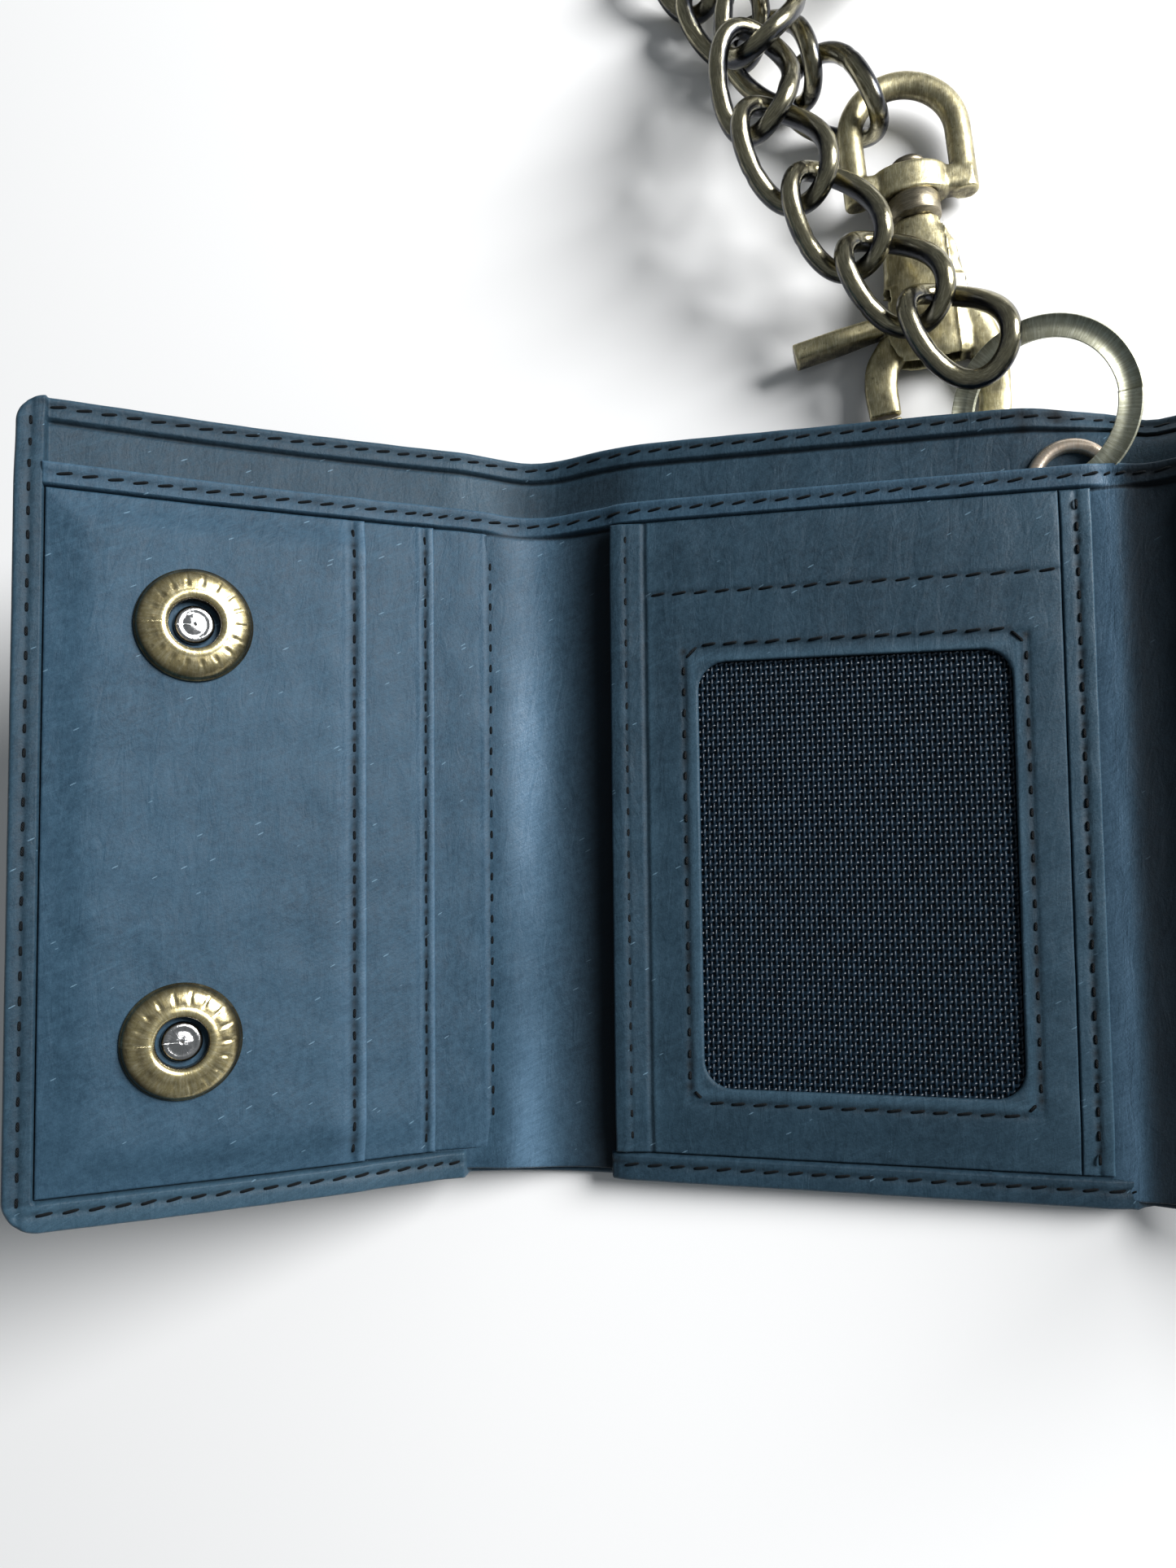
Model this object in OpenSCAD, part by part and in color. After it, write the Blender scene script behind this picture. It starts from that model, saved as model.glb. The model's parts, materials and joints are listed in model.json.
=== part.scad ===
// Trifold leather wallet with a curb chain and a swivel clasp.
// X runs across the open wallet, Y up the panels, Z away from the table.
// The wallet leans on its own chain: its lower edge lies on the table.

/* [Panels] */
// Height of the outer cover
cover_h = 108; // [104:1:112]
// Width of the left flap from its fold line
left_w = 66; // [64:1:70]
// Distance between the two fold lines
centre_w = 92; // [91:0.5:94]
// Width of the right flap from its fold line
right_w = 78; // [74:1:80]
// Corner radius of the outer cover
corner_r = 4; // [2:0.5:6]
// Top edge of the inner wall above mid height
wall_top = 44.5; // [42:0.5:45]
// Width of the turned hem
hem_w = 3.7; // [3:0.1:4]

/* [Leather] */
// Thickness of the outer cover
cover_t = 1.2; // [1:0.05:1.25]
// Thickness of the inner wall
wall_t = 0.9; // [0.7:0.05:0.95]
// Thickness of a card pocket's leather
pocket_t = 0.6; // [0.5:0.05:0.65]
// Thickness of the bill compartment lining
lining_t = 0.2; // [0.15:0.05:0.25]

/* [Pose] */
// Lean of the whole wallet, top edge up
lean = 3.8; // [3.6:0.1:4]
// Left flap raised at rest
left_rest = 36; // [34:1:38]
// Right flap raised at rest
right_rest = 30; // [28:1:32]

/* [Snaps] */
// Outer radius of a snap socket ring
socket_r = 7.65; // [7:0.05:8]
// Radius of the hole in a socket ring
socket_hole_r = 3.4; // [3.2:0.1:3.6]
// Height of a socket ring over the leather
socket_h = 2.6; // [2.4:0.1:2.6]
// Radius of a stud's head
stud_r = 2.8; // [2.6:0.1:2.9]

/* [Hardware] */
// Middle radius of the key ring
ring_r = 10.9; // [10.6:0.05:11]
// Width of the key ring's band
ring_band = 3; // [2.8:0.1:3]
// Thickness of the key ring's band
ring_t = 1.15; // [1.1:0.05:1.2]
// Radius of the eyelet's hole
eyelet_hole_r = 4.05; // [4:0.05:4.1]
// Outer radius of the eyelet
eyelet_r = 5.3; // [5.2:0.1:5.4]
// Radius of a chain link's wire
wire_r = 1.45; // [1.4:0.01:1.46]
// Distance from one chain joint to the next
pitch = 12.4; // [12.38:0.01:12.42]
// Radius of the swivel loop's rod
loop_rod_r = 1.9; // [1.8:0.05:1.9]

/* [Hidden] */

half_h = cover_h / 2;
gap = 0.05;
eps = 0.01;
// Air between two layers of leather
air = 0.1;
// How far a cutter runs past what it cuts
over = 1;
// Size of a cutter that takes all there is on one side
reach = 20;

// Facets of a ring, a panel corner or eyelet, a bore, a pin, a rod and a thin wire
fn_ring = 96;
fn_round = 64;
fn_bore = 48;
fn_pin = 32;
fn_rod = 24;
fn_wire = 16;

// Heights over the cover's back face
lining_z = cover_t + gap;
wall_z = 2;
pocket_back_z = wall_z + wall_t + air;
pocket_middle_z = pocket_back_z + pocket_t + air;
pocket_front_z = 4.85;
front_z = pocket_front_z + pocket_t;
hem_t = 0.6;
lip_z = wall_z + wall_t + air;
lip_t = 0.9;
flange_z = pocket_middle_z + pocket_t + gap;
flange_t = 0.4;

// Fold geometry: two planes that meet at an angle
left_mitre = tan(left_rest / 2);
right_mitre = tan(right_rest / 2);
fold_gap = 0.15;
centre_x0 = 10;
centre_x1 = 88.5;
fold_clear = 0.05;

// Turned edge: its own thickness, where it stops under the top hem, and its lip
turn_t = 1;
turn_top = half_h - 1.5;
hem_inset = 1;
lip_inset = 2;
wall_edge = turn_t + air;
wall_bottom = -half_h + wall_edge;
lip_bottom = -half_h + 4;
pocket_bottom = lip_bottom + air;
wall_hem = 3.2;
pocket_top = wall_top - wall_hem - air;
cover_hem = 3;
lining_inset = 1;
lining_bottom = wall_bottom + lining_inset;
lining_top = half_h - cover_hem - 0.2;

// Card pockets of the left flap: distance of each mouth from the fold line
mouth_middle = 9.6;
mouth_front = 20.8;
left_inner = left_w - hem_w - air;

// Card pockets of the right flap
right_mouths = [8, 19, 30];
right_inner = right_w - hem_w - air;

// Identity pocket
id_x0 = 19.2;
id_x1 = 81.2;
id_z = wall_z + wall_t + 0.4;
window_x0 = 32;
window_x1 = 74.7;
window_y0 = -40.5;
window_y1 = 20;
window_r = 4;
window_lap = 1.6;
slot_y = 31.4;
slot_h = 0.5;
slot_inset = 1;
strip_x0 = 81.3;
strip_x1 = 85.3;
mesh_t = 0.25;

// Snaps: distance from the left fold line and height on the flap
snap_at = [[44, 24.1], [45.1, -31.1]];
dome_r = 7.2;
dome_drop = 2.2;
tick_count = 12;
tick_r = 4.9;
tick_l = 1.3;
tick_w = 0.3;
tick_depth = 0.35;
post_r = 2.2;
post_h = 1;
flange_r = 4.6;
flange_clear = 0.3;
rivet_r = 0.9;
stud_base_r = 5;
stud_base_t = 0.8;
stud_h = 2.2;
stud_neck_r = 2.3;

// Eyelet
eyelet_x = 83.4;
eyelet_y = 43;
eyelet_front_t = 0.5;
eyelet_back_t = 0.3;
eyelet_wall = 0.4;
washer_r = eyelet_r + 0.2;
notch_r = 5.9;

// Key ring: where it passes the eyelet, and how it leans there
ring_mid_z = 0.75;
ring_shift = 0.18;
ring_drop = 0.35;
ring_turn = 20;
ring_slope = 9;
ring_tilt = 26.5;

// Stitching
thread_w = 0.5;
thread_t = 0.25;
seam_inset = 1.8;
seam_end = 5;
seam_top_y = half_h - 1.5;
seam_wall_y = wall_top - 1.6;
seam_low_y = -50.7;
flap_seam_x = 8;
flap_seam_y = -51.8;
slot_seam_x = [24.5, 80.5];
slot_seam_y = slot_y - 1.1;
window_seam_x = [30.2, 76.4];
window_seam_y = [-42.3, 22.6];
strip_seam_x = 83.4;
front_seam_x = 22.5;
middle_seam_x = 11.3;

// Chain: the first joint, then each link's heading, the height of each joint,
// and each link's roll about its own length
link_count = 19;
first_joint = [73.1, 60.15, 12.2];
headings = [131, 134, 127, 122, 97, 76, 42, 35, 69, 103, 138, 173, 208, 243, 277, 296, 304, 312,
            320];
joint_heights = [12.2, 10.7, 10.9, 13.9, 15.2, 15.2, 14.3, 11.9, 8.8, 6, 4.3, 3.8, 3.8, 3.8,
                 3.8, 3.8, 3.9, 4.7, 5.5, 6.2];
last_rolls = [15, 31, 48];
link_a = 8.25;
link_b = 5.2;
link_c = 2.15;
link_rings = 28;
link_sides = 8;

// Clasp: frame at the middle of the hook's opening, +Y towards the swivel loop
clasp_at = [67.3, 57, 2.45];
clasp_turn = 5.5;
clasp_pitch = 2.5;
loop_roll = 8;
hook_r = 7.8;
hook_rod = 4.6;
hook_z0 = -1.95;
hook_z1 = 0.2;
hook_y = 1.2;
hook_l = 5;
body_y0 = 9;
body_y1 = 26.5;
body_w = 12.6;
body_t = 5.4;
body_top_w = 10;
shoulder_y = 23.5;
neck_r = 2.6;
collar_y = 29.4;
collar_r = 3.2;
loop_w = 8;
loop_bar_y = 35.3;
loop_side_y = 43.5;
bar_r = 2.3;
boss_r = 3.2;
shaft_r = 1.5;
shaft_y0 = body_y1 - 6;
rivet_head_r = 2.6;
rivet_head_t = 1.3;
bore_clear = 0.05;
pivot = [0.5, 15.2];
pivot_r = 1;
hub_r = 2.9;
hub_clear = 0.4;
slot_t = 3.2;
slot_x1 = pivot.x + hub_r + hub_clear;
slot_y1 = pivot.y + hub_r + 1.2;
gate_t = 2.6;
gate_reach = 15.9;
mouth_reach = 16.4;
lever_tip = [-18.6, 12.2];
lever_r = 1.9;
lever_root = [pivot + [-1.2, -2.4], pivot + [0, 2.8], lever_tip + [0, lever_r],
              lever_tip - [0, lever_r]];
arm_top = 9;
arm_root = [pivot + [-2.4, 0.8], pivot + [0.8, -2.6], [-5, 7.5], [-6, 6], [-9.8, 6], [-8.9, 9.5]];
spring_r = 1.65;
spring_wire_r = 0.3;
spring_pitch = 0.62;
spring_seat_r = 2.2;
spring_seat_t = 1.4;

// Moves the assembly so that its box is centred on the origin
centre_shift = [-53.08, -60.1, 0];

function link_name(i) = str("chain_link_", i < 10 ? "0" : "", i);
function link_roll(i) = i < link_count - 3 ? 0 : last_rolls[i - (link_count - 3)];

// A chain joint: the one before it, moved by one pitch along the link's heading
function step(i) =
    let (dz = joint_heights[i + 1] - joint_heights[i])
    let (run = sqrt(pitch * pitch - dz * dz))
    [run * cos(headings[i]), run * sin(headings[i]), dz];
function joint_at(i) = i == 0 ? first_joint : joint_at(i - 1) + step(i - 1);

function unit(v) = v / norm(v);
function link_point(t) = [link_a * cos(t), link_b * sin(t), link_c * sin(2 * t)];
function link_dir(t) = unit([-link_a * sin(t), link_b * cos(t), 2 * link_c * cos(2 * t)]);
function wire_point(t, s) =
    let (d = link_dir(t))
    let (out = unit(cross(d, [0, 0, 1])))
    let (up = cross(out, d))
    link_point(t) + wire_r * (cos(s) * out + sin(s) * up);

module on_table() {
    translate(centre_shift)
        children();
}

module on_wallet() {
    on_table()
        translate([0, -half_h, 0])
            rotate([lean, 0, 0])
                translate([0, half_h, 0])
                    children();
}

// The left flap's own frame: its fold line at X = 0, its panel towards -X
module on_left() {
    on_wallet()
        rotate([0, left_rest, 0])
            children();
}

// The right flap's own frame: its fold line at X = 0, its panel towards +X
module on_right() {
    on_wallet()
        translate([centre_w, 0, 0])
            rotate([0, -right_rest, 0])
                children();
}

module on_clasp() {
    on_table()
        translate(clasp_at)
            rotate([clasp_pitch, 0, clasp_turn])
                children();
}

// A round cutter through a layer that starts at z and is t thick
module through(r, z, t, fn = fn_round) {
    translate([0, 0, z - over])
        cylinder(h = t + 2 * over, r = r, $fn = fn);
}

module at_eyelet() {
    translate([eyelet_x, eyelet_y, 0])
        children();
}

// A flat plate between two corners
module plate(x0, x1, y0, y1, z, t) {
    translate([x0, y0, z])
        cube([x1 - x0, y1 - y0, t]);
}

module rounded_rect(x0, x1, y0, y1, r) {
    for (x = [x0 + r, x1 - r])
        for (y = [y0 + r, y1 - r])
            translate([x, y])
                circle(r, $fn = fn_bore);
    translate([x0 + r, y0])
        square([x1 - x0 - 2 * r, y1 - y0]);
    translate([x0, y0 + r])
        square([x1 - x0, y1 - y0 - 2 * r]);
}

// An outer panel that starts at x0 and has two rounded corners at its far edge
module panel_outline(x0, x1, inset = 0) {
    edge = x1 - inset;
    top = half_h - inset;
    r = corner_r - inset;
    translate([x0, -top])
        square([edge - r - x0, 2 * top]);
    translate([edge - 2 * r, -top + r])
        square([2 * r, 2 * (top - r)]);
    for (s = [-1, 1])
        translate([edge - r, s * (top - r)])
            circle(r, $fn = fn_bore);
}

// Outer panel of a flap with its edge turned over on the far and lower sides
module turned_cover(x0, w) {
    linear_extrude(cover_t)
        panel_outline(x0, w);
    translate([0, 0, cover_t])
        linear_extrude(hem_t)
            difference() {
                panel_outline(x0 + hem_inset, w);
                translate([x0, -cover_h])
                    square([w, cover_h + half_h - cover_hem]);
            }
    translate([0, 0, cover_t - eps])
        linear_extrude(lip_z - cover_t + eps)
            difference() {
                panel_outline(x0 + hem_inset, w);
                panel_outline(x0, w, turn_t);
                translate([x0, turn_top])
                    square([w, half_h]);
            }
    translate([0, 0, lip_z - eps])
        linear_extrude(lip_t)
            difference() {
                panel_outline(x0 + lip_inset, w);
                translate([x0, lip_bottom])
                    square([w - hem_w - x0, cover_h]);
            }
}

// Inner wall of a flap with its top edge turned
module turned_wall(x0, w) {
    translate([0, 0, wall_z])
        linear_extrude(wall_t)
            difference() {
                panel_outline(x0, w, wall_edge);
                translate([x0, wall_top])
                    square([w, cover_h]);
            }
    plate(x0 + lip_inset, w - hem_w - air, wall_top - wall_hem, wall_top,
          wall_z + wall_t - eps, hem_t);
}

module cover_centre() {
    color([0.17, 0.25, 0.31])
        on_wallet()
            difference() {
                union() {
                    plate(centre_x0, centre_x1, -half_h, half_h, 0, cover_t);
                    plate(centre_x0, centre_x1, half_h - cover_hem, half_h, cover_t - eps, hem_t);
                    plate(id_x0, centre_x1, -half_h, -half_h + turn_t, cover_t - eps,
                          lip_z - cover_t);
                    plate(id_x0, centre_x1, -half_h, lip_bottom, lip_z - eps, lip_t);
                }
                at_eyelet()
                    through(eyelet_hole_r + eyelet_wall, 0, cover_t);
            }
}

module lining_centre() {
    color([0.07, 0.08, 0.1])
        on_wallet()
            difference() {
                plate(centre_x0 + lining_inset, centre_x1 - lining_inset, wall_bottom,
                      lining_top, lining_z, lining_t);
                at_eyelet()
                    through(notch_r, lining_z, lining_t);
            }
}

module inner_wall_centre() {
    color([0.19, 0.28, 0.34])
        on_wallet()
            difference() {
                union() {
                    plate(centre_x0, centre_x1, wall_bottom, wall_top, wall_z, wall_t);
                    plate(centre_x0, centre_x1, wall_top - wall_hem, wall_top,
                          wall_z + wall_t - eps, hem_t);
                }
                at_eyelet()
                    through(notch_r, wall_z, wall_t + hem_t);
            }
}

module id_pocket() {
    color([0.18, 0.27, 0.33])
        on_wallet()
            translate([0, 0, id_z])
                linear_extrude(wall_t)
                    difference() {
                        translate([id_x0, pocket_bottom])
                            square([id_x1 - id_x0, pocket_top - pocket_bottom]);
                        rounded_rect(window_x0, window_x1, window_y0, window_y1, window_r);
                        translate([id_x0 + slot_inset, slot_y])
                            square([id_x1 - id_x0 - 2 * slot_inset, slot_h]);
                    }
}

module id_window_mesh() {
    color([0.05, 0.06, 0.09])
        on_wallet()
            translate([0, 0, id_z - gap - mesh_t])
                linear_extrude(mesh_t)
                    rounded_rect(window_x0 - window_lap, window_x1 + window_lap,
                                 window_y0 - window_lap, window_y1 + window_lap, window_r);
}

module divider_strip() {
    color([0.16, 0.24, 0.3])
        on_wallet()
            plate(strip_x0, strip_x1, pocket_bottom, pocket_top, wall_z + wall_t + gap, wall_t);
}

module eyelet() {
    color([0.66, 0.52, 0.44])
        on_wallet()
            at_eyelet()
                difference() {
                    union() {
                        translate([0, 0, -eyelet_back_t])
                            cylinder(h = eyelet_back_t + cover_t + 2 * gap,
                                     r = eyelet_hole_r + eyelet_wall - gap, $fn = fn_round);
                        translate([0, 0, cover_t + gap])
                            cylinder(h = eyelet_front_t - gap, r = eyelet_r, $fn = fn_round);
                    }
                    through(eyelet_hole_r, 0, cover_t + eyelet_front_t);
                }
}

module eyelet_washer() {
    color([0.6, 0.47, 0.4])
        on_wallet()
            at_eyelet()
                translate([0, 0, -eyelet_back_t])
                    difference() {
                        cylinder(h = eyelet_back_t - gap, r = washer_r, $fn = fn_round);
                        through(eyelet_hole_r + eyelet_wall, 0, eyelet_back_t);
                    }
}

// Leather between a panel and a fold line, cut back at the fold's mitre
module fold_strip(x0, x1, y0, y1, z, t, m0, m1) {
    translate([0, y1, 0])
        rotate([90, 0, 0])
            linear_extrude(y1 - y0)
                polygon([[x0 + z * m0, z], [x1 - z * m1, z],
                         [x1 - (z + t) * m1, z + t], [x0 + (z + t) * m0, z + t]]);
}

module cover_fold_left() {
    color([0.17, 0.25, 0.31])
        on_wallet()
            fold_strip(fold_clear, centre_x0, -half_h, half_h, 0, cover_t, left_mitre, 0);
}

module cover_fold_right() {
    color([0.17, 0.25, 0.31])
        on_wallet()
            fold_strip(centre_x1, centre_w - fold_clear, -half_h, half_h, 0, cover_t,
                       0, right_mitre);
}

module inner_fold_left() {
    color([0.19, 0.28, 0.34])
        on_wallet()
            fold_strip(fold_clear, centre_x0, wall_bottom, wall_top, wall_z, wall_t,
                       left_mitre, 0);
}

module inner_fold_right() {
    color([0.19, 0.28, 0.34])
        on_wallet()
            fold_strip(eyelet_x + notch_r, centre_w - fold_clear, wall_bottom, wall_top, wall_z,
                       wall_t, 0, right_mitre);
}

// One straight seam, as a thread that lies on the leather
module seam(from, to, z) {
    d = to - from;
    translate([from.x, from.y, z + gap])
        rotate([0, 0, atan2(d.y, d.x)])
            translate([0, -thread_w / 2, 0])
                cube([norm(d), thread_w, thread_t]);
}

module stitching_centre() {
    color([0.04, 0.05, 0.06])
        on_wallet() {
            seam([id_x0, seam_low_y], [centre_x1 - seam_inset, seam_low_y], lip_z + lip_t);
            seam([centre_x0, seam_top_y], [centre_x1, seam_top_y], cover_t + hem_t);
            seam([centre_x0, seam_wall_y], [eyelet_x - notch_r - seam_inset, seam_wall_y],
                 wall_z + wall_t + hem_t);
            seam([slot_seam_x[0], slot_seam_y], [slot_seam_x[1], slot_seam_y], id_z + wall_t);
            for (y = window_seam_y)
                seam([window_seam_x[0], y], [window_seam_x[1], y], id_z + wall_t);
            seam([strip_seam_x, pocket_bottom], [strip_seam_x, pocket_top],
                 wall_z + 2 * wall_t + gap);
        }
}

// The seams along a flap's edges, its far edge at w
module flap_seams(w) {
    seam([w - seam_inset, lip_bottom - hem_inset], [w - seam_inset, half_h - seam_end],
         lip_z + lip_t);
    seam([flap_seam_x, flap_seam_y], [w - seam_end, flap_seam_y], lip_z + lip_t);
    seam([flap_seam_x, seam_top_y], [w - seam_end, seam_top_y], cover_t + hem_t);
    seam([flap_seam_x, seam_wall_y], [w - seam_end, seam_wall_y], wall_z + wall_t + hem_t);
}

// The lining of a flap, its far edge at w
module flap_lining(w) {
    plate(lining_inset, w - 2 * lining_inset, lining_bottom, lining_top, lining_z, lining_t);
}

module cover_left() {
    color([0.2, 0.29, 0.36])
        on_left()
            mirror([1, 0, 0])
                turned_cover(cover_t * left_mitre + fold_gap, left_w);
}

module lining_left() {
    color([0.07, 0.08, 0.1])
        on_left()
            mirror([1, 0, 0])
                flap_lining(left_w);
}

module inner_wall_left() {
    color([0.21, 0.31, 0.38])
        on_left()
            mirror([1, 0, 0])
                turned_wall((wall_z + wall_t) * left_mitre + fold_gap, left_w);
}

// A card pocket of the left flap, open towards the fold
module left_pocket(mouth, z) {
    color([0.22, 0.32, 0.4])
        on_left()
            mirror([1, 0, 0])
                plate(mouth, left_inner, pocket_bottom, pocket_top, z, pocket_t);
}

module card_pocket_back() {
    left_pocket((pocket_back_z + pocket_t) * left_mitre + fold_gap, pocket_back_z);
}

module card_pocket_middle() {
    left_pocket(mouth_middle, pocket_middle_z);
}

module card_pocket_front() {
    color([0.22, 0.32, 0.4])
        on_left()
            mirror([1, 0, 0])
                difference() {
                    plate(mouth_front, left_inner, pocket_bottom, pocket_top, pocket_front_z,
                          pocket_t);
                    for (p = snap_at)
                        translate(p)
                            through(rivet_r + gap, pocket_front_z, pocket_t, fn_pin);
                }
}

module at_snaps() {
    for (p = snap_at)
        translate([-p.x, p.y, 0])
            children();
}

// Domed ring with plain tick marks around its face
module socket() {
    difference() {
        rotate_extrude($fn = fn_ring)
            difference() {
                intersection() {
                    translate([socket_r - dome_r, -dome_drop])
                        circle(dome_r, $fn = fn_ring);
                    square([socket_r, socket_h]);
                }
                square([socket_hole_r, socket_h + over]);
            }
        for (i = [0:tick_count - 1])
            rotate([0, 0, i * 360 / tick_count])
                translate([tick_r, -tick_w / 2, socket_h - tick_depth])
                    cube([tick_l, tick_w, over]);
    }
}

module snap_sockets() {
    color([0.55, 0.46, 0.27])
        on_left()
            at_snaps()
                translate([0, 0, front_z + gap])
                    socket();
}

module snap_posts() {
    color([0.7, 0.71, 0.74])
        on_left()
            at_snaps() {
                translate([0, 0, flange_z])
                    cylinder(h = flange_t, r = flange_r, $fn = fn_bore);
                translate([0, 0, flange_z])
                    cylinder(h = front_z - flange_z + gap + post_h / 2, r = rivet_r,
                             $fn = fn_pin);
                translate([0, 0, front_z + gap])
                    cylinder(h = post_h, r = post_r, $fn = fn_bore);
            }
}

module stitching_left() {
    color([0.04, 0.05, 0.06])
        on_left()
            mirror([1, 0, 0]) {
                flap_seams(left_w);
                seam([front_seam_x, pocket_bottom + hem_inset],
                     [front_seam_x, pocket_top - hem_inset], front_z);
                seam([middle_seam_x, pocket_bottom + hem_inset],
                     [middle_seam_x, pocket_top - hem_inset], pocket_middle_z + pocket_t);
            }
}

module cover_right() {
    color([0.16, 0.23, 0.29])
        on_right()
            difference() {
                turned_cover(cover_t * right_mitre + fold_gap, right_w);
                at_studs()
                    through(rivet_r + gap, 0, cover_t, fn_pin);
            }
}

module lining_right() {
    color([0.07, 0.08, 0.1])
        on_right()
            difference() {
                flap_lining(right_w);
                at_studs()
                    through(flange_r + flange_clear, lining_z, lining_t, fn_bore);
            }
}

module inner_wall_right() {
    color([0.18, 0.26, 0.32])
        on_right()
            turned_wall((wall_z + wall_t) * right_mitre + fold_gap, right_w);
}

// A card pocket of the right flap, open towards the fold
module right_pocket(i, z) {
    color([0.19, 0.27, 0.34])
        on_right()
            plate(right_mouths[i], right_inner, pocket_bottom, pocket_top, z, pocket_t);
}

module right_pocket_back() {
    right_pocket(0, pocket_back_z);
}

module right_pocket_middle() {
    right_pocket(1, pocket_middle_z);
}

module right_pocket_front() {
    right_pocket(2, pocket_middle_z + pocket_t + air);
}

// Where the left flap's sockets land on the folded right flap
module at_studs() {
    for (p = snap_at)
        translate([centre_w - p.x, p.y, 0])
            children();
}

module snap_studs() {
    color([0.55, 0.46, 0.27])
        on_right()
            at_studs()
                mirror([0, 0, 1])
                    difference() {
                        union() {
                            translate([0, 0, gap])
                                cylinder(h = stud_base_t - gap, r = stud_base_r,
                                         $fn = fn_bore);
                            translate([0, 0, stud_base_t - eps])
                                cylinder(h = stud_h / 2, r = stud_neck_r, $fn = fn_bore);
                            translate([0, 0, stud_base_t + stud_h / 2 - 2 * eps])
                                cylinder(h = stud_h / 2, r = stud_r, $fn = fn_bore);
                        }
                        through(rivet_r, 0, stud_base_t + stud_h, fn_pin);
                    }
}

module stud_rivets() {
    color([0.7, 0.71, 0.74])
        on_right()
            at_studs() {
                translate([0, 0, cover_t + gap])
                    cylinder(h = flange_t, r = flange_r, $fn = fn_bore);
                translate([0, 0, -stud_base_t])
                    cylinder(h = stud_base_t + cover_t + flange_t / 2, r = rivet_r - gap,
                             $fn = fn_pin);
            }
}

module stitching_right() {
    color([0.04, 0.05, 0.06])
        on_right()
            flap_seams(right_w);
}

module key_ring() {
    color([0.62, 0.55, 0.36])
        on_wallet()
            translate([eyelet_x + ring_shift, eyelet_y, ring_mid_z])
                rotate([0, 0, ring_turn])
                    rotate([ring_slope, 0, 0])
                        rotate([0, -ring_tilt, 0])
                            translate([0, ring_r - ring_drop, 0])
                                rotate_extrude($fn = fn_ring)
                                    translate([ring_r - ring_band / 2, -ring_t / 2])
                                        square([ring_band, ring_t]);
}

// One twisted oval link, swept along its own centre line
module link_solid() {
    points = [for (i = [0:link_rings - 1])
              for (j = [0:link_sides - 1])
              wire_point(i * 360 / link_rings, j * 360 / link_sides)];
    faces = [for (i = [0:link_rings - 1])
             for (j = [0:link_sides - 1])
             let (i2 = (i + 1) % link_rings)
             let (j2 = (j + 1) % link_sides)
             [i * link_sides + j, i * link_sides + j2, i2 * link_sides + j2, i2 * link_sides + j]];
    polyhedron(points, faces);
}

module chain_link(i) {
    a = joint_at(i - 1);
    b = joint_at(i);
    d = b - a;
    color([0.42, 0.38, 0.28])
        on_table()
            translate((a + b) / 2)
                rotate([0, 0, atan2(d.y, d.x)])
                    rotate([0, -asin(d.z / norm(d)), 0])
                        rotate([link_roll(i - 1), 0, 0])
                            link_solid();
}

module swivel_loop() {
    color([0.6, 0.52, 0.32])
        on_clasp()
            rotate([0, loop_roll, 0])
                difference() {
                    union() {
                        translate([0, loop_side_y, 0])
                            intersection() {
                                rotate_extrude($fn = fn_round)
                                    translate([loop_w, 0])
                                        circle(loop_rod_r, $fn = fn_rod);
                                translate([-reach, 0, -reach])
                                    cube([2 * reach, reach, 2 * reach]);
                            }
                        for (s = [-1, 1]) {
                            translate([s * loop_w, loop_bar_y, 0])
                                rotate([-90, 0, 0])
                                    cylinder(h = loop_side_y - loop_bar_y + eps,
                                             r = loop_rod_r, $fn = fn_rod);
                            translate([s * loop_w, loop_bar_y, 0])
                                sphere(bar_r, $fn = fn_pin);
                        }
                        translate([-loop_w, loop_bar_y, 0])
                            rotate([0, 90, 0])
                                cylinder(h = 2 * loop_w, r = bar_r, $fn = fn_pin);
                        translate([0, loop_bar_y - bar_r, 0])
                            rotate([-90, 0, 0])
                                cylinder(h = 2 * bar_r, r = boss_r, $fn = fn_pin);
                    }
                    translate([0, loop_bar_y - bar_r, 0])
                        rotate([-90, 0, 0])
                            through(shaft_r + bore_clear, 0, 2 * bar_r, fn_bore);
                }
}

// Outline of the hook's ring, outside (s = 1) or inside (s = -1)
module hook_outline(s) {
    r = hook_r + s * hook_rod / 2;
    for (y = [hook_y, hook_y + hook_l])
        translate([0, y])
            circle(r, $fn = fn_round);
    translate([-r, hook_y])
        square([2 * r, hook_l]);
}

module hook_ring() {
    difference() {
        hook_outline(1);
        hook_outline(-1);
    }
}

// Everything the gate sweeps, out to r from its pin
module gate_side(r) {
    intersection() {
        translate(pivot)
            circle(r, $fn = fn_ring);
        translate([-reach, -reach])
            square([reach + slot_x1, 2 * reach]);
    }
}

// Hook, body and neck in one casting
module clasp_hook() {
    color([0.58, 0.5, 0.31])
        on_clasp()
            difference() {
                union() {
                    translate([0, 0, hook_z0])
                        linear_extrude(hook_z1 - hook_z0)
                            difference() {
                                hook_ring();
                                gate_side(mouth_reach);
                            }
                    translate([0, 0, -body_t / 2])
                        linear_extrude(body_t)
                            polygon([[-body_w / 2, body_y0], [body_w / 2, body_y0],
                                     [body_w / 2, shoulder_y], [body_top_w / 2, body_y1],
                                     [-body_top_w / 2, body_y1], [-body_w / 2, shoulder_y]]);
                    translate([0, body_y1 - eps, 0])
                        rotate([-90, 0, 0])
                            cylinder(h = collar_y - body_y1, r = neck_r, $fn = fn_pin);
                }
                translate([-reach, body_y0 - over, -slot_t / 2])
                    cube([reach + slot_x1, slot_y1 - body_y0 + over, slot_t]);
                translate(pivot)
                    through(pivot_r + bore_clear, -body_t / 2, body_t, fn_pin);
                translate([0, shaft_y0, 0])
                    rotate([-90, 0, 0])
                        cylinder(h = reach, r = shaft_r - eps, $fn = fn_bore);
            }
}

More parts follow.
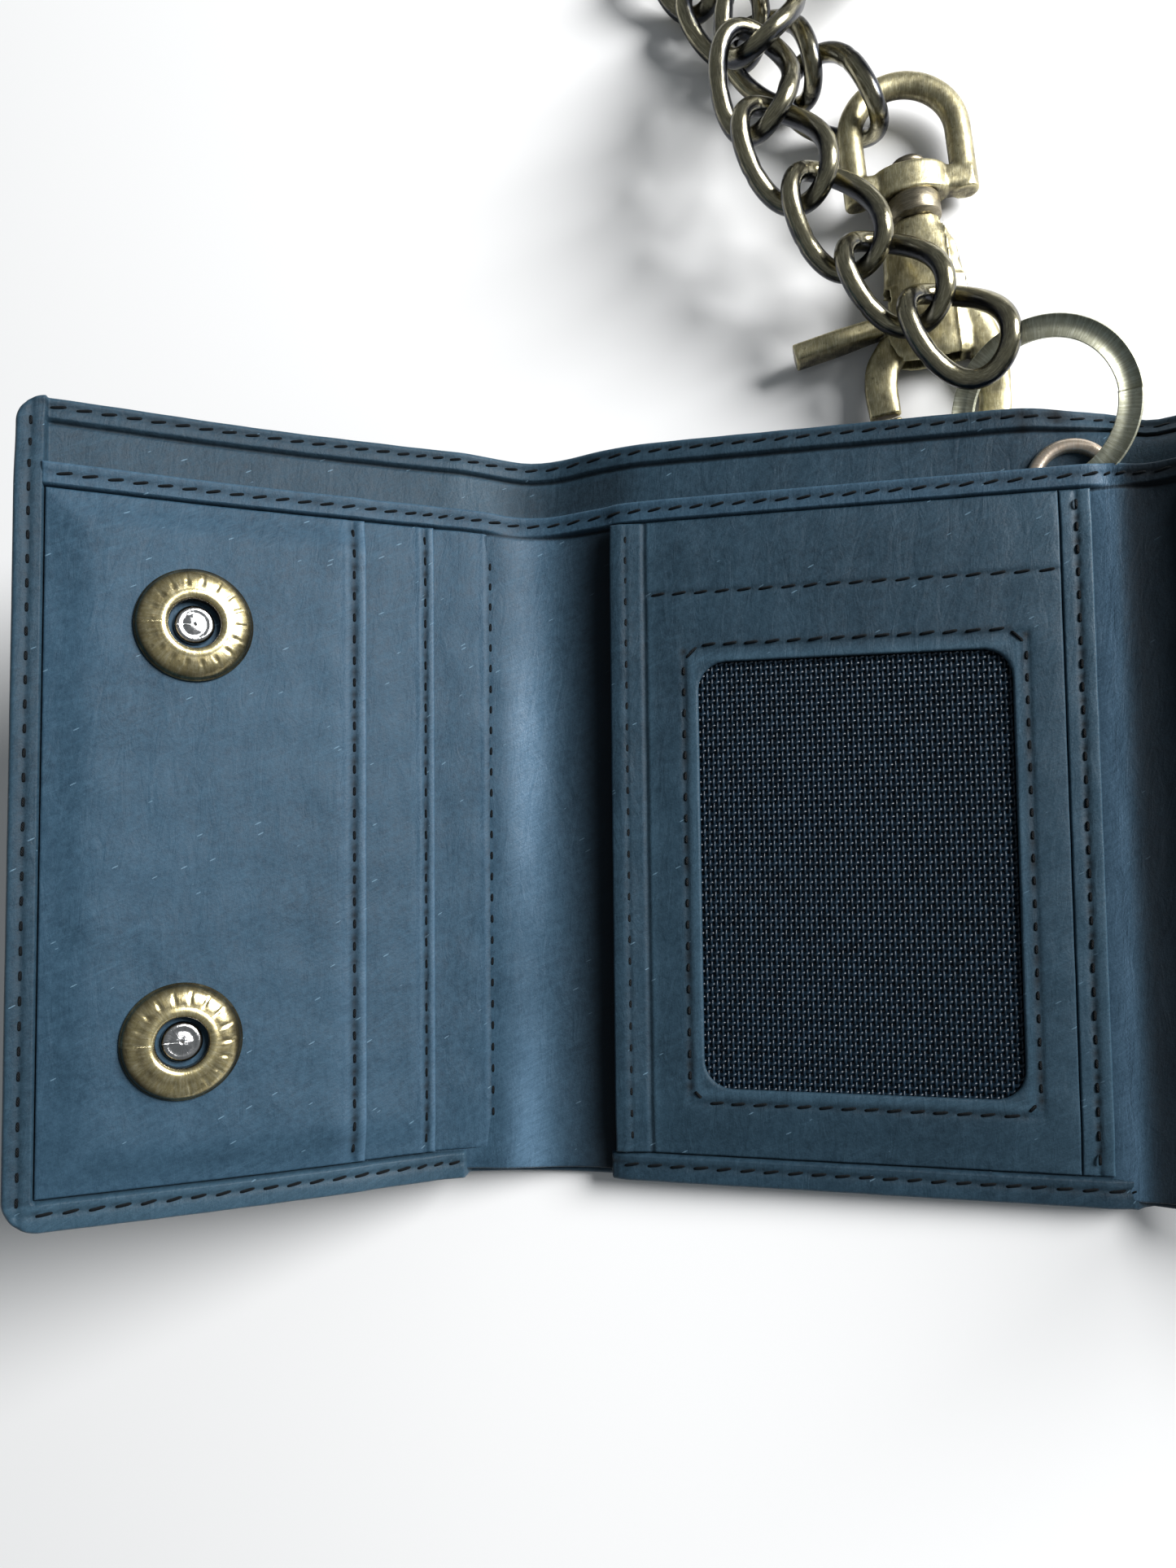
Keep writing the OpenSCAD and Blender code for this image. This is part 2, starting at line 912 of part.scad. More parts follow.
module swivel_rivet() {
    color([0.35, 0.3, 0.22])
        on_clasp() {
            translate([0, shaft_y0, 0])
                rotate([-90, 0, 0])
                    cylinder(h = loop_bar_y + bar_r + 2 * air - shaft_y0, r = shaft_r - 2 * eps,
                             $fn = fn_bore);
            translate([0, collar_y + gap, 0])
                rotate([-90, 0, 0])
                    difference() {
                        cylinder(h = loop_bar_y - bar_r - air - collar_y - gap, r = collar_r,
                                 $fn = fn_bore);
                        through(shaft_r - 3 * eps, 0, loop_bar_y - collar_y, fn_bore);
                    }
            translate([0, loop_bar_y + bar_r + air, 0])
                rotate([-90, 0, 0])
                    cylinder(h = rivet_head_t, r = rivet_head_r, $fn = fn_pin);
        }
}

module gate_pin() {
    color([0.35, 0.3, 0.22])
        on_clasp()
            translate([pivot.x, pivot.y, -body_t / 2])
                cylinder(h = body_t, r = pivot_r, $fn = fn_pin);
}

// The gate's arm, which fills the gap in the hook's ring
module gate_arm() {
    intersection() {
        linear_extrude(gate_t)
            hook_ring();
        translate([pivot.x, pivot.y, -over])
            cylinder(h = gate_t + 2 * over, r = gate_reach, $fn = fn_ring);
        translate([-reach, -reach, -over])
            cube([reach - hook_r + hook_rod, reach + arm_top, gate_t + 2 * over]);
    }
}

// Gate and thumb lever in one casting, turning on the pin
module gate_lever() {
    color([0.58, 0.5, 0.31])
        on_clasp()
            difference() {
                translate([0, 0, -gate_t / 2])
                    union() {
                        gate_arm();
                        linear_extrude(gate_t)
                            polygon(arm_root);
                        linear_extrude(gate_t)
                            polygon(lever_root);
                        translate(pivot)
                            cylinder(h = gate_t, r = hub_r, $fn = fn_bore);
                        translate(lever_tip)
                            cylinder(h = gate_t, r = lever_r, $fn = fn_pin);
                    }
                translate(pivot)
                    through(pivot_r + bore_clear, -gate_t / 2, gate_t, fn_pin);
                translate([pivot.x, pivot.y, -gate_t / 2 - over])
                    cylinder(h = over + spring_seat_t, r = spring_seat_r, $fn = fn_pin);
            }
}

// Two coils of the spring that closes the gate
module gate_spring() {
    color([0.6, 0.6, 0.62])
        on_clasp()
            translate([pivot.x, pivot.y, -gate_t / 2 + air + spring_wire_r])
                for (i = [0:1])
                    translate([0, 0, i * spring_pitch])
                        rotate_extrude($fn = fn_pin)
                            translate([spring_r, 0])
                                circle(spring_wire_r, $fn = fn_wire);
}

cover_centre();
lining_centre();
inner_wall_centre();
id_pocket();
id_window_mesh();
divider_strip();
eyelet();
eyelet_washer();
cover_fold_left();
cover_fold_right();
inner_fold_left();
inner_fold_right();
stitching_centre();
cover_left();
lining_left();
inner_wall_left();
card_pocket_back();
card_pocket_middle();
card_pocket_front();
snap_sockets();
snap_posts();
stitching_left();
cover_right();
lining_right();
inner_wall_right();
right_pocket_back();
right_pocket_middle();
right_pocket_front();
snap_studs();
stud_rivets();
stitching_right();
key_ring();
swivel_loop();
clasp_hook();
swivel_rivet();
gate_pin();
gate_lever();
gate_spring();
for (i = [1:19])
    chain_link(i);
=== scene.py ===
"""Chain wallet: leather, thread, mesh window and metal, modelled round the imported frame.

Lengths are in millimetres until a mesh is made. A place on the leather is (u, v, w): u runs
across the opened wallet with 0 at the left fold, v runs up it and w is the height over the
cover's back. lay() turns that into the row frame, round both folds.
"""
import json
import math
import bpy
import numpy as np
from mathutils import Matrix, Vector


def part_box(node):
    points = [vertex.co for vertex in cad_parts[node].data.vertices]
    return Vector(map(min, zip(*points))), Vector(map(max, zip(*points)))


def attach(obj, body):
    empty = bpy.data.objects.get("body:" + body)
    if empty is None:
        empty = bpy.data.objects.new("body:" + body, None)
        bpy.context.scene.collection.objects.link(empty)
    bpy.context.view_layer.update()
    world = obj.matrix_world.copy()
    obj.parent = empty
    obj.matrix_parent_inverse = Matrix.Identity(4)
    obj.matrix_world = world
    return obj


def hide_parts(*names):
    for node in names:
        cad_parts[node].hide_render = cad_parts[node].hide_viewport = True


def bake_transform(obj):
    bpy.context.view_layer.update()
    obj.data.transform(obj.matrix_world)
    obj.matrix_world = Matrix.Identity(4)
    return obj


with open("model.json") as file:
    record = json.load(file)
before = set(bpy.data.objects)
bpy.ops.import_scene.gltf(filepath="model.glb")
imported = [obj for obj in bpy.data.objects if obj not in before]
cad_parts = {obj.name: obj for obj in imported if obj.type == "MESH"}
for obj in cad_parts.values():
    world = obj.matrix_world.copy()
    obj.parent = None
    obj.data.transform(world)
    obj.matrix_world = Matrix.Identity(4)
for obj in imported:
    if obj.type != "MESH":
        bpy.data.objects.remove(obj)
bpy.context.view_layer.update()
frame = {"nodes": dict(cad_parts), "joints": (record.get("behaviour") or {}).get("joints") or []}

MM = 0.001
UP = np.array([0.0, 0.0, 1.0])
rng = np.random.default_rng(7)


def unit(vectors):
    return vectors / np.linalg.norm(vectors, axis=-1, keepdims=True)


def rows(*columns):
    """One row of numbers per point, from broadcast columns."""
    return np.stack(np.broadcast_arrays(*columns), -1).reshape(-1, len(columns))


def where(mask, a, b):
    return np.where(mask[..., None], a, b)


# ---- the wallet's own frame

LEAN = math.radians(3.8)        # the middle panel lies on the hook and the ring
HALF = 54.0                     # half the wallet's height
MID = 92.0                      # width of the middle panel: u of the right fold
LEFT_END = -66.0
RIGHT_END = 170.0
LEFT_RISE = math.radians(36)
RIGHT_RISE = math.radians(30)
BEND_LEFT = (14.0, 19.0)        # how far a fold's curve reaches to each side of it
BEND_RIGHT = (5.0, 13.0)
SPLIT = 46.0                    # u where the left and right sheets of a long layer meet
COVER_T = 1.2
CENTRE_X0 = 10.0                # u where the CAD's middle part of the cover begins

_low_centre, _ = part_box("cover_centre")
_low_fold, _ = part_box("cover_fold_left")
SHIFT = np.array([
    _low_centre.x / MM - CENTRE_X0,
    _low_fold.y / MM + HALF + COVER_T * math.sin(LEAN),
    0.0,
])


def to_row(p):
    """Wallet frame to row frame, both in millimetres."""
    y, z = p[..., 1] + HALF, p[..., 2]
    c, s = math.cos(LEAN), math.sin(LEAN)
    return np.stack([p[..., 0], y * c - z * s - HALF, y * s + z * c], -1) + SHIFT


def arc(u, start, corner, end, reach):
    """Point and tangent along a quadratic curve that rounds one fold."""
    t = ((u + reach[0]) / (reach[0] + reach[1]))[..., None]
    p = (1 - t) ** 2 * start + 2 * t * (1 - t) * corner + t ** 2 * end
    d = 2 * (1 - t) * (corner - start) + 2 * t * (end - corner)
    return p, unit(d)


def spine(u):
    """Where the cover's back runs, as (x, z), and its tangent."""
    left = np.array([-math.cos(LEFT_RISE), math.sin(LEFT_RISE)])
    right = np.array([math.cos(RIGHT_RISE), math.sin(RIGHT_RISE)])
    corner_l, corner_r = np.array([0.0, 0.0]), np.array([MID, 0.0])
    p = np.stack([u, np.zeros_like(u)], -1)
    d = np.zeros_like(p)
    d[..., 0] = 1
    flap = u < -BEND_LEFT[0]
    p, d = where(flap, -u[..., None] * left, p), where(flap, -left, d)
    flap = u > MID + BEND_RIGHT[1]
    p, d = where(flap, corner_r + (u[..., None] - MID) * right, p), where(flap, right, d)
    q, e = arc(u, BEND_LEFT[0] * left, corner_l, np.array([BEND_LEFT[1], 0.0]), BEND_LEFT)
    fold = (u >= -BEND_LEFT[0]) & (u <= BEND_LEFT[1])
    p, d = where(fold, q, p), where(fold, e, d)
    q, e = arc(u - MID, np.array([MID - BEND_RIGHT[0], 0.0]), corner_r,
               corner_r + BEND_RIGHT[1] * right, BEND_RIGHT)
    fold = (u >= MID - BEND_RIGHT[0]) & (u <= MID + BEND_RIGHT[1])
    return where(fold, q, p), where(fold, e, d)


def step(x, lo, hi):
    """Smooth step from 0 at lo to 1 at hi."""
    t = np.clip((x - lo) / (hi - lo), 0, 1)
    return t * t * (3 - 2 * t)


def bump(x, at, width):
    """Smooth bump of height 1."""
    return np.exp(-((x - at) / width) ** 2)


def drape(u, v):
    """How far the soft leather stands off its flat planes, the same for every layer."""
    curl = 0.5 * step(-u, 30, -LEFT_END) * step(np.abs(v), 20, HALF) * np.sign(v)
    wave = 0.35 * np.sin(u / 17 + 0.8) * np.sin(v / 23 + 0.5)
    dip = -0.5 * step(-u, 8, 30) * (1 - step(-u, 40, 62)) * step(v, 20, HALF)
    sag = -2.8 * bump(u, 9.0, 8.5) * step(v, -70, HALF)
    slump = -2.8 * slumped(u, v)
    return curl + wave * step(np.abs(u - SPLIT), 30, 60) + dip + sag + slump


def slumped(u, v):
    """Where the cover's top edge sinks behind the right fold, from 0 to 1."""
    return step(u, 75, MID) * (1 - 0.5 * step(u, 118, 150)) * step(v, 47, HALF)


def lay(u, v, w):
    """A place on the leather, in the row frame, in millimetres."""
    u, v, w = (np.asarray(a, float) for a in np.broadcast_arrays(u, v, w))
    p, d = spine(u)
    w = w + drape(u, v)
    v = v - 1.2 * slumped(u, v) - 0.9 * bump(u, 7.0, 8.0) * step(v, 30, HALF)
    v = v - 2.0 * step(u, 89, 97) * (1 - step(u, 120, 150)) * step(v, 36, HALF)
    return to_row(np.stack([p[..., 0] - d[..., 1] * w, v, p[..., 1] + d[..., 0] * w], -1))


def spot(u, v, w):
    return Vector(lay(u, v, w) * MM)


# ---- node materials


class Nodes:
    """A short way to write a node tree."""

    def __init__(self, name):
        self.mat = bpy.data.materials.new(name)
        self.mat.use_nodes = True
        self.tree = self.mat.node_tree
        self.shader = self.tree.nodes["Principled BSDF"]

    def feed(self, socket, value):
        """Links a socket to another, or sets it to a number or colour."""
        if isinstance(value, bpy.types.NodeSocket):
            self.tree.links.new(value, socket)
        else:
            socket.default_value = (*value, 1) if socket.type == "RGBA" else value

    def add(self, kind, **values):
        node = self.tree.nodes.new(kind)
        for key, value in values.items():
            if key in node.inputs:
                self.feed(node.inputs[key], value)
            else:
                setattr(node, key, value)
        return node

    def attribute(self, name, output="Fac"):
        return self.add("ShaderNodeAttribute", attribute_name=name).outputs[output]

    def math(self, operation, a, b, clamp=False):
        node = self.add("ShaderNodeMath", operation=operation, use_clamp=clamp)
        self.feed(node.inputs[0], a)
        self.feed(node.inputs[1], b)
        return node.outputs[0]

    def times(self, a, b):
        return self.math("MULTIPLY", a, b)

    def mapped(self, vector, scale=(1, 1, 1), turn=0.0):
        """Squeezes a texture by scale along axes that are turned by so many degrees."""
        return self.add("ShaderNodeMapping", vector_type="TEXTURE", Vector=vector,
                        Scale=tuple(1 / k for k in scale),
                        Rotation=(0, 0, math.radians(turn))).outputs[0]

    def noise(self, vector, scale, detail=4.0, rough=0.55, distortion=0.0):
        return self.add("ShaderNodeTexNoise", Vector=vector, Scale=scale, Detail=detail,
                        Roughness=rough, Distortion=distortion).outputs[0]

    def cells(self, vector, scale, output="Distance"):
        return self.add("ShaderNodeTexVoronoi", Vector=vector, Scale=scale).outputs[output]

    def waves(self, vector, scale, direction):
        return self.add("ShaderNodeTexWave", Vector=vector, Scale=scale,
                        bands_direction=direction).outputs[1]

    def ramp(self, factor, *stops):
        """Grey ramp through (place, value) stops."""
        node = self.add("ShaderNodeValToRGB", Fac=factor)
        for point, (place, value) in zip(node.color_ramp.elements, stops):
            point.position = place
            point.color = (value, value, value, 1)
        return node.outputs[0]

    def blend(self, factor, a, b):
        node = self.tree.nodes.new("ShaderNodeMix")
        node.data_type = "RGBA"
        for k, value in ((0, factor), (6, a), (7, b)):
            self.feed(node.inputs[k], value)
        return node.outputs[2]

    def height(self, value, distance, strength, normal=None):
        values = {"Height": value, "Distance": distance, "Strength": strength}
        if normal is not None:
            values["Normal"] = normal
        return self.add("ShaderNodeBump", **values).outputs[0]

    def finish(self, colour, rough, normal=None, **fixed):
        values = {"Base Color": colour, "Roughness": rough, **fixed}
        if normal is not None:
            values["Normal"] = normal
        for key, value in values.items():
            self.feed(self.shader.inputs[key], value)
        return self.mat


PAINTED_SHADE_COLOUR = (0.001, 0.002, 0.003)
FLECK = (0.16, 0.27, 0.36)
FIBRE_TURN = 27


def leather_material(name, deep, body, worn, polish_and_highlight):
    """Oiled pull-up leather: cloudy colour, pale scuffs and fibres, fine grain, lighter rubbed
    edges with painted highlights on the bends, and painted shade in needle holes, under hems, in
    creases and in hollows.
    """
    n = Nodes(name)
    flat = n.attribute("flat", "Vector")
    rub_and_highlight, painted_shade = n.attribute("rub_and_highlight"), n.attribute("painted_shade")
    cloud = n.noise(flat, 0.055, 6.0, 0.62, 0.6)
    colour = n.blend(n.ramp(cloud, (0.3, 0.0), (0.7, 1.0)), deep, body)
    fine = n.noise(flat, 0.9, 8.0, 0.7)
    colour = n.blend(n.ramp(fine, (0.35, 0.0), (0.75, 0.55)), colour, worn)
    scuffs = n.noise(n.mapped(flat, (0.12, 0.9, 0.5), 24), 1.0, 7.0, 0.72, 0.4)
    scuffs = n.ramp(scuffs, (0.52, 0.0), (0.78, 0.75))
    patches = n.ramp(n.noise(flat, 0.035, 3.0), (0.42, 0.15), (0.66, 1.0))
    colour = n.blend(n.times(scuffs, patches), colour, worn)
    strokes = n.noise(n.mapped(flat, (0.35, 3.0, 1.0), FIBRE_TURN), 1.0, 6.0, 0.75)
    colour = n.blend(n.ramp(strokes, (0.5, 0.0), (0.8, 0.5)), colour, worn)
    fibres = n.mapped(flat, (0.55, 3.2, 1.0), FIBRE_TURN)
    near = n.math("LESS_THAN", n.cells(fibres, 0.5), 0.13)
    pick = n.add("ShaderNodeSeparateColor", Color=n.cells(fibres, 0.5, "Color")).outputs[0]
    near = n.times(near, n.math("GREATER_THAN", pick, 0.86))
    colour = n.blend(n.times(near, 0.5), colour, FLECK)
    # Lighter rubbed edges, and painted highlights on the folds' bends.
    rub_and_highlight_mask = n.times(rub_and_highlight, n.ramp(strokes, (0.3, 0.45), (0.65, 1.0)))
    colour = n.blend(rub_and_highlight_mask, colour, polish_and_highlight)
    # Painted shade: darker in needle holes, under hems, in creases and in the hollows by the folds.
    colour = n.blend(n.times(painted_shade, 0.92), colour, PAINTED_SHADE_COLOUR)
    grain = n.cells(n.mapped(flat, (1.0, 1.35, 1.0), 12), 2.3)
    folds = n.noise(n.mapped(flat, (0.5, 0.16, 0.4), -8), 1.0, 5.0, 0.6, 1.1)
    normal = n.height(grain, 0.00005, 0.35)
    normal = n.height(n.noise(flat, 4.5, 5.0, 0.7), 0.00007, 0.4, normal)
    normal = n.height(folds, 0.0005, 0.3, normal)
    normal = n.height(scuffs, 0.00006, 0.5, normal)
    normal = n.height(strokes, 0.00005, 0.5, normal)
    rough = n.math("ADD", n.times(fine, 0.25), 0.44)
    rough = n.math("SUBTRACT", rough, n.times(rub_and_highlight, 0.16))
    rough = n.math("ADD", rough, n.times(painted_shade, 0.2), clamp=True)
    return n.finish(colour, rough, normal, **{"Specular IOR Level": 0.24,
                                              "Sheen Weight": 0.02, "Sheen Roughness": 0.5})


def cloth_material():
    n = Nodes("lining_weave")
    flat = n.attribute("flat", "Vector")
    weave = n.times(n.waves(flat, 1.6, "X"), n.waves(flat, 1.6, "Y"))
    colour = n.blend(weave, (0.006, 0.008, 0.013), (0.028, 0.034, 0.05))
    return n.finish(colour, 0.85, n.height(weave, 0.0001, 0.7))


def mesh_material():
    n = Nodes("window_thread")
    flat = n.attribute("flat", "Vector")
    shade = n.noise(flat, 0.5, 5.0, 0.7)
    colour = n.blend(n.ramp(shade, (0.3, 0.0), (0.75, 1.0)), (0.002, 0.006, 0.011),
                     (0.008, 0.026, 0.048))
    strands = n.noise(n.mapped(flat, (3.0, 14.0, 1.0)), 1.0, 2.0)
    return n.finish(colour, n.ramp(shade, (0.3, 0.3), (0.8, 0.5)),
                    n.height(strands, 0.00004, 0.5), **{"Specular IOR Level": 0.45})


def thread_material():
    n = Nodes("waxed_thread")
    twist = n.waves(n.mapped(n.attribute("flat", "Vector"), (1.0, 0.35, 1.0), 30), 1.1, "X")
    colour = n.blend(twist, (0.001, 0.0015, 0.002), (0.006, 0.009, 0.012))
    return n.finish(colour, 0.6, n.height(twist, 0.0001, 0.8), **{"Specular IOR Level": 0.15})


def metal_material(name, dark, tone, bright, wear_at, rough, scratch=(0.7, 6.0, 0.7),
                   metal=1.0):
    """Antiqued metal: patina in the hollows, bright where the point attribute wear is high."""
    n = Nodes(name)
    flat = n.attribute("flat", "Vector")
    blotch = n.noise(flat, 0.35, 6.0, 0.65, 0.4)
    worn = n.math("ADD", n.attribute("wear"), n.times(n.math("SUBTRACT", blotch, 0.5), 0.7))
    worn = n.ramp(worn, (wear_at[0], 0.0), (wear_at[1], 1.0))
    colour = n.blend(worn, dark, tone)
    lines = n.noise(n.mapped(flat, scratch), 1.0, 6.0, 0.7)
    shine = n.ramp(lines, (0.45, 0.0), (0.8, 1.0))
    colour = n.blend(n.times(shine, worn), colour, bright)
    pits = n.ramp(n.noise(flat, 1.6, 4.0, 0.6), (0.62, 0.0), (0.72, 1.0))
    colour = n.blend(n.times(pits, 0.6), colour, dark)
    roughness = n.ramp(n.noise(flat, 0.8, 5.0), (0.25, rough[0]), (0.8, rough[1]))
    normal = n.height(lines, 0.00003, 0.5)
    normal = n.height(n.noise(flat, 0.5, 3.0), 0.00025, 0.25, normal)
    return n.finish(colour, roughness, normal, Metallic=metal)


LEATHER = leather_material("oiled_leather", (0.007, 0.020, 0.033), (0.013, 0.035, 0.056),
                           (0.030, 0.069, 0.104), (0.056, 0.114, 0.165))
# A lighter copy of the same leather for the inner wall and the card pockets: painted light, so that
# they look more lit than the cover and the window pocket.
LEATHER_LIT_COPY = leather_material("oiled_leather_lit_copy", (0.012, 0.033, 0.056),
                                (0.020, 0.051, 0.084), (0.043, 0.098, 0.150),
                                (0.086, 0.160, 0.240))
LINING = cloth_material()
MESH = mesh_material()
THREAD = thread_material()
CHAIN_METAL = metal_material("chain_antique_brass", (0.045, 0.048, 0.056),
                             (0.34, 0.31, 0.20), (0.80, 0.75, 0.55), (0.55, 1.15),
                             (0.17, 0.3))
CLASP_METAL = metal_material("clasp_antique_brass", (0.06, 0.052, 0.04),
                             (0.54, 0.48, 0.28), (0.90, 0.86, 0.62), (0.34, 0.8),
                             (0.30, 0.5), (5.0, 0.8, 0.8), 0.95)
SNAP_METAL = metal_material("snap_antique_brass", (0.09, 0.072, 0.04),
                            (0.58, 0.49, 0.25), (0.92, 0.86, 0.62), (0.25, 0.75),
                            (0.2, 0.36), metal=0.9)
RING_METAL = metal_material("ring_brushed_brass", (0.22, 0.21, 0.15),
                            (0.50, 0.50, 0.37), (0.95, 0.97, 0.84), (0.1, 0.5),
                            (0.42, 0.6), (0.3, 3.0, 0.3), 0.75)
EYELET_METAL = metal_material("eyelet_copper_nickel", (0.30, 0.23, 0.17),
                              (0.78, 0.64, 0.50), (0.96, 0.88, 0.78), (0.1, 0.5),
                              (0.28, 0.42), metal=0.9)
STEEL = metal_material("post_steel", (0.12, 0.12, 0.12), (0.5, 0.5, 0.5),
                       (0.9, 0.9, 0.92), (0.1, 0.6), (0.12, 0.25))
PIN_METAL = metal_material("pin_dark_steel", (0.04, 0.037, 0.033), (0.24, 0.21, 0.15),
                           (0.5, 0.45, 0.34), (0.2, 0.8), (0.3, 0.5))

# ---- mesh helpers


def in_scene(name, data):
    """A new object in the scene for mesh, light or camera data."""
    obj = bpy.data.objects.new(name, data)
    bpy.context.scene.collection.objects.link(obj)
    return obj


def put(mesh, key, values):
    """Stores one number or vector per point as an attribute."""
    values = np.asarray(values, np.float32)
    kind, field = ("FLOAT_VECTOR", "vector") if values.ndim == 2 else ("FLOAT", "value")
    mesh.attributes.new(key, kind, "POINT").data.foreach_set(field, values.ravel())


def piece(name, co, faces, material, slot, **attributes):
    """A mesh object from millimetre points; attributes are per-point numbers or vectors."""
    mesh = bpy.data.meshes.new(name)
    mesh.from_pydata((np.asarray(co) * MM).tolist(), [], [tuple(f) for f in faces])
    for key, values in attributes.items():
        put(mesh, key, values)
    mesh.shade_smooth()
    mesh.materials.append(material)
    obj = in_scene(name, mesh)
    return obj


FINE_SPACING = 0.22
FINE_REACH = 1.0


def ticks(lo, hi, spacing, features=(), rim=0.3):
    """Grid places from lo to hi, closer by each feature and round both rims."""
    places = list(np.linspace(lo, hi, max(2, round((hi - lo) / spacing) + 1)))
    for at in features:
        places += list(np.arange(at - FINE_REACH, at + FINE_REACH + 1e-6, FINE_SPACING))
    for k in range(1, 5):
        inset = rim * (1 - math.cos(k * math.pi / 8))
        places += [lo + inset, hi - inset]
    places = sorted(p for p in places if lo <= p <= hi)
    kept = [lo]
    for p in places:
        if p - kept[-1] > 0.05 and hi - p > 0.02:
            kept.append(p)
    return np.array(kept + [hi])


def round_corner(u, v, corner, side, radius, outward):
    """Pulls the grid lines round one corner. side is the way from the corner into the sheet,
    or into the hole, as (+-1, +-1)."""
    p, q = (u - corner[0]) * side[0], (v - corner[1]) * side[1]
    level = -np.minimum(p, q) if outward else np.minimum(p, q)
    r = np.clip(radius - level, 1e-9, None)
    sign = -1 if outward else 1
    along = np.abs(p - q)
    use = (along < r) & (level < radius) & (level >= -1e-9)
    angle = np.radians(45) * (1 - along / r)
    centre = sign * level + r
    steep = centre - r * np.cos(angle)
    shallow = centre - r * np.sin(angle)
    new_p = np.where(p <= q, steep, shallow)
    new_q = np.where(p <= q, shallow, steep)
    p, q = np.where(use, new_p, p), np.where(use, new_q, q)
    return corner[0] + p * side[0], corner[1] + q * side[1]


HOLE_R = 4.0                    # the window's corners
THINNEST = 0.04
BACK_SHIFT = 31                 # sets the texture on a layer's back apart from its front's


def slab(name, us, vs, top, bottom, material, slot, *, rim=0.3, corners=(), hole=None,
         open_ends=(), rub_and_highlight=None, painted_shade=None):
    """A closed layer of leather over a grid, with rounded rims, corners and window."""
    u, v = np.meshgrid(us, vs, indexing="ij")
    gaps = {"u0": u - us[0], "u1": us[-1] - u, "v0": v - vs[0], "v1": vs[-1] - v}
    edge = np.min([g for key, g in gaps.items() if key not in open_ends], axis=0)
    keep = np.ones((len(us) - 1, len(vs) - 1), bool)
    if hole:
        x0, x1, y0, y1 = hole
        out = np.maximum.reduce([x0 - u, u - x1, y0 - v, v - y1])
        edge = np.minimum(edge, np.maximum(out, 0))
        mid_u, mid_v = (us[1:] + us[:-1]) / 2, (vs[1:] + vs[:-1]) / 2
        keep = ~(((mid_u > x0) & (mid_u < x1))[:, None] & ((mid_v > y0) & (mid_v < y1))[None])
        for cu, su in ((x0, 1), (x1, -1)):
            for cv, sv in ((y0, 1), (y1, -1)):
                u, v = round_corner(u, v, (cu, cv), (su, sv), HOLE_R, True)
    for (cu, cv), (su, sv), radius in corners:
        u, v = round_corner(u, v, (cu, cv), (su, sv), radius, False)
    d = np.clip(edge, 0, rim)
    drop = rim - np.sqrt(np.maximum(rim ** 2 - (rim - d) ** 2, 0))
    high, low = top(u, v) - drop, bottom(u, v) + drop
    thin = high - low < THINNEST
    middle, half = (high + low) / 2, THINNEST / 2
    high, low = np.where(thin, middle + half, high), np.where(thin, middle - half, low)
    n, m = u.shape
    index = np.arange(n * m).reshape(n, m)
    i, j = np.nonzero(keep)
    a, b, c, e = index[i, j], index[i + 1, j], index[i + 1, j + 1], index[i, j + 1]
    faces = [np.stack([a, b, c, e], 1), np.stack([a, e, c, b], 1) + n * m]
    pad = np.pad(keep, 1)
    for di, dj, first, second in ((-1, 0, e, a), (1, 0, b, c), (0, -1, a, b), (0, 1, c, e)):
        rimmed = ~pad[i + 1 + di, j + 1 + dj]
        f, s = first[rimmed], second[rimmed]
        faces.append(np.stack([f, f + n * m, s + n * m, s], 1))
    faces = np.concatenate(faces)
    co = np.concatenate([lay(u, v, w).reshape(-1, 3) for w in (high, low)])
    flat = np.concatenate([rows(u, v, high), rows(u, v, low + BACK_SHIFT)])
    extra = {}
    for key, make in (("rub_and_highlight", rub_and_highlight), ("painted_shade", painted_shade)):
        value = np.zeros(u.shape) if make is None else np.clip(make(u, v), 0, 1)
        extra[key] = np.concatenate([value.ravel(), (value * 0.4).ravel()])
    used, inverse = np.unique(faces, return_inverse=True)
    faces = inverse.reshape(faces.shape)
    obj = piece(name, co[used], faces, material, slot, flat=flat[used],
                **{key: value[used] for key, value in extra.items()})
    ends = np.zeros(u.shape, int)
    for key, row in (("u0", 0), ("u1", -1)):
        if key in open_ends:
            ends[row] = 1
    sharpen(obj.data, np.concatenate([ends.ravel(), 2 * ends.ravel()])[used])
    return obj


def sharpen(mesh, group):
    """Marks the edges between two points of the same group as sharp; group 0 stays smooth."""
    pairs = np.zeros(len(mesh.edges) * 2, int)
    mesh.edges.foreach_get("vertices", pairs)
    a, b = group[pairs.reshape(-1, 2)].T
    mesh.attributes.new("sharp_edge", "BOOLEAN", "EDGE").data.foreach_set(
        "value", (a > 0) & (a == b))


def tube_faces(rings, sides, closed=False):
    """Faces of a tube through rings of points; an open tube gets a cap at both ends."""
    faces = [(i * sides + j, i * sides + (j + 1) % sides, (i + 1) % rings * sides
              + (j + 1) % sides, (i + 1) % rings * sides + j)
             for i in range(rings if closed else rings - 1) for j in range(sides)]
    if not closed:
        faces += [tuple(range(sides))[::-1],
                  tuple((rings - 1) * sides + j for j in range(sides))]
    return faces


def flipped(faces):
    """The same faces, turned over, from the same first corner."""
    return [(f[0], *f[:0:-1]) for f in faces]


def lathe(profile, sides):
    """Points and faces of a profile of (radius, height) turned round +Z; closed both ways."""
    r, z = np.asarray(profile, float).T
    angles = np.arange(sides) * 2 * math.pi / sides
    co = rows(np.outer(np.cos(angles), r), np.outer(np.sin(angles), r), z)
    return co, flipped(tube_faces(sides, len(r), True))


def sides_of(along):
    """Unit vectors level with the table and square to it, across a run of directions."""
    side = unit(np.cross(along, UP))
    return side, np.cross(side, along)


